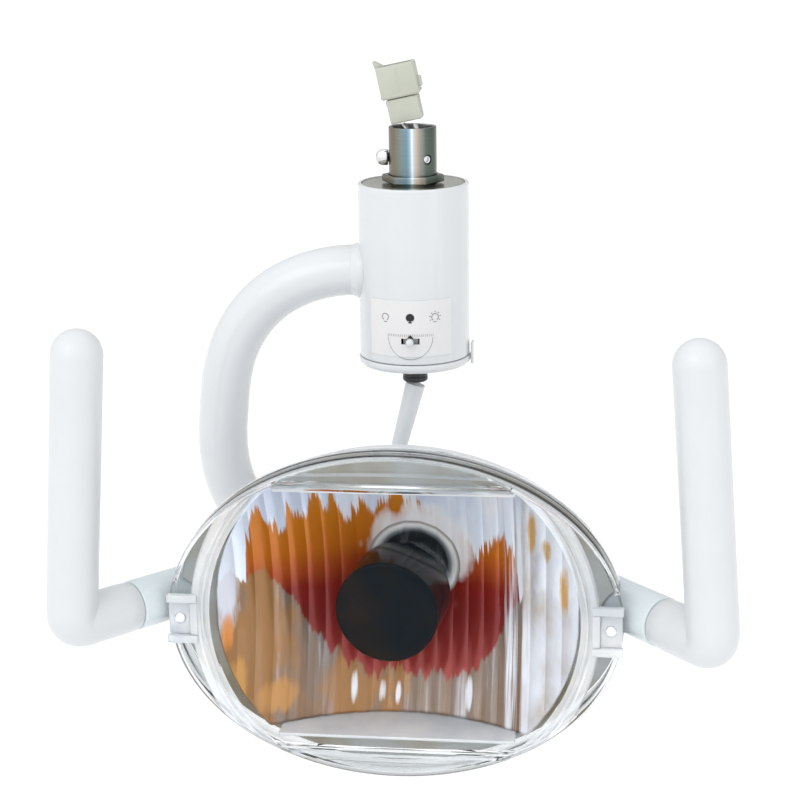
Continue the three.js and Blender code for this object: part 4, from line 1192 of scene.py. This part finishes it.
def make_handles():
    for side, word in ((-1, "left"), (1, "right")):
        def flip(v):
            return Vector((side * v.x, v.y, v.z))
        corner, top, seam, inner = (flip(v) for v in (GRIP_CORNER, GRIP_TOP, ROOT_SEAM, ROOT_INNER))
        out = (corner - inner).normalized()
        turn = Vector((0, 0, 1)).rotation_difference(out).to_matrix().to_4x4()
        length = (seam - inner).length
        root = rounded([
            (0, 0), (GRIP_R, 0), (GRIP_R, length), (10, length), (10, length + 24), (0, length + 24),
        ], 1.2)
        piece(f"root_{word}", lathe(root, Matrix.Translation(inner) @ turn), f"handle_root_{word}",
              [f"handle_root_{word}"])
        start = seam + out * GAP
        bend = rounded([start, corner, top], 8, 20)
        line = []
        for a, b in zip(bend, bend[1:]):
            parts = max(1, round((b - a).length / 4))
            line += [a.lerp(b, i / parts) for i in range(parts)]
        radii = [GRIP_R - 1.0, GRIP_R - 0.3] + [GRIP_R] * (len(line) - 2)
        line[1] = line[0] + out * 0.9
        for i in range(13):
            a = math.pi / 2 * i / 12
            line.append(top + (top - corner).normalized() * GRIP_R * math.sin(a))
            radii.append(max(GRIP_R * math.cos(a), 0.02))
        piece(f"sleeve_{word}", sweep(line, radii, 80), f"grip_{word}", [f"grip_{word}"])


def make_shield():
    edge = ellipse_r(HEAD_A, HEAD_B)

    def inset(d):
        return lambda a: edge(a) - d

    def grown(d, limit=1.4):
        return lambda a: min(window_r(a) + d, edge(a) - limit)

    def scaled(k):
        return lambda a: window_r(a) * k

    def dome(k, lift):
        reach = WINDOW_R + WINDOW_CENTRE_X
        return lambda a: RIM_Y - CROWN * (1 - (window_r(a) * k / reach) ** 2) + lift

    shares = [0.02, 0.12, 0.25, 0.4, 0.55, 0.7, 0.82, 0.92]
    rings = [head_ring(scaled(k), dome(k, SHIELD_WALL)) for k in shares + [0.975]]
    rings += [
        head_ring(grown(1, SHIELD_WALL + 0.8), RIM_Y + SHIELD_WALL),
        head_ring(inset(SHIELD_WALL + 0.5), RIM_Y + SHIELD_WALL),
        head_ring(inset(SHIELD_WALL), RIM_Y + SHIELD_WALL + 0.5),
        head_ring(inset(SHIELD_WALL), SKIRT_BACK_Y),
        head_ring(inset(0.4), SKIRT_BACK_Y),
        head_ring(inset(0), SKIRT_BACK_Y - 0.4),
        head_ring(inset(0), RIM_Y + 1.8),
        head_ring(inset(0.3), RIM_Y + 0.8),
        head_ring(inset(0.9), RIM_Y + 0.2),
        head_ring(inset(1.6), RIM_Y),
        head_ring(grown(7.6, 1.8), RIM_Y),
        head_ring(grown(7.2, 2.0), RIM_Y - 1.4),
        head_ring(grown(6.4, 2.3), RIM_Y - 2.2),
        head_ring(grown(3.6, 2.6), RIM_Y - 2.2),
        head_ring(grown(2.5, 2.8), RIM_Y - 1.2),
        head_ring(grown(1.9, 3.0), RIM_Y - 1.2),
        head_ring(grown(1.5, 3.1), RIM_Y - 2.4),
        head_ring(grown(0.5, 3.3), RIM_Y - 2.4),
        head_ring(grown(0.1, 3.5), RIM_Y - 0.2),
    ]
    rings += [head_ring(scaled(k), dome(k, 0)) for k in reversed(shares + [0.975])]
    shield = piece("shield", skin(rings), "front_shield", ["front_shield"], sharp=50)
    notches = []
    for side in (-1, 1):
        x = sorted((side * 108, side * 130))
        notches.append(block((x[0], RIM_Y + SHIELD_WALL + 0.2, HANDLE_Z - GRIP_R - 1),
                             (x[1], SKIRT_BACK_Y + 10, HANDLE_Z + GRIP_R + 1), 0))
    carve(shield, *notches)
    shield.data.materials.append(materials["window_clear"])
    shield.data.materials.append(materials["rib_clear"])
    for face in shield.data.polygons:
        middle = face.center / MM
        along, up = middle.x, middle.z - TILT_Z
        past = math.hypot(along, up) - window_r(math.atan2(up, along))
        if past < -3:
            face.material_index = 1
        elif past < 7.5 and middle.y < RIM_Y - 0.1 and abs(along) > 62:
            face.material_index = 2
    for side, word in ((-1, "left"), (1, "right")):
        def lug(x0, x1, y0, y1, z0, z1, bevel=0.5):
            xs = sorted((side * x0, side * x1))
            return block((xs[0], y0, TILT_Z + z0), (xs[1], y1, TILT_Z + z1), bevel)
        face = RIM_Y - 0.03
        clip = together(
            lug(103, 119, face - 3.8, face, 7.6, 11.8),
            lug(103, 119, face - 3.8, face, -14.8, -10.6),
            lug(103, 107, face - 3.0, face, -10.3, 7.3),
            lug(107.3, 118.4, face - 1.0, face, -10.3, 7.3, 0.3),
        )
        piece(f"clip_{word}", clip, "front_shield", material=materials["rib_clear"])
        pin = rounded([(0, 0), (3.4, 0), (3.4, 0.6), (2.6, 1.9), (1.1, 2.5), (0, 2.6)], 0.6)
        place = at(side * 112.5, face, TILT_Z - 1.5) @ TO_FRONT
        piece(f"clip_pin_{word}", lathe(pin, place, segments=40),
              "cap_stay_1", body="shield")


make_camera()
make_stage()
make_cable()
make_fixing_end()
make_connector()
make_housing()
make_label()
make_arm()
make_knuckle()
make_back_shell()
make_reflector()
make_frame_and_shelves()
make_lamp()
make_handles()
make_shield()
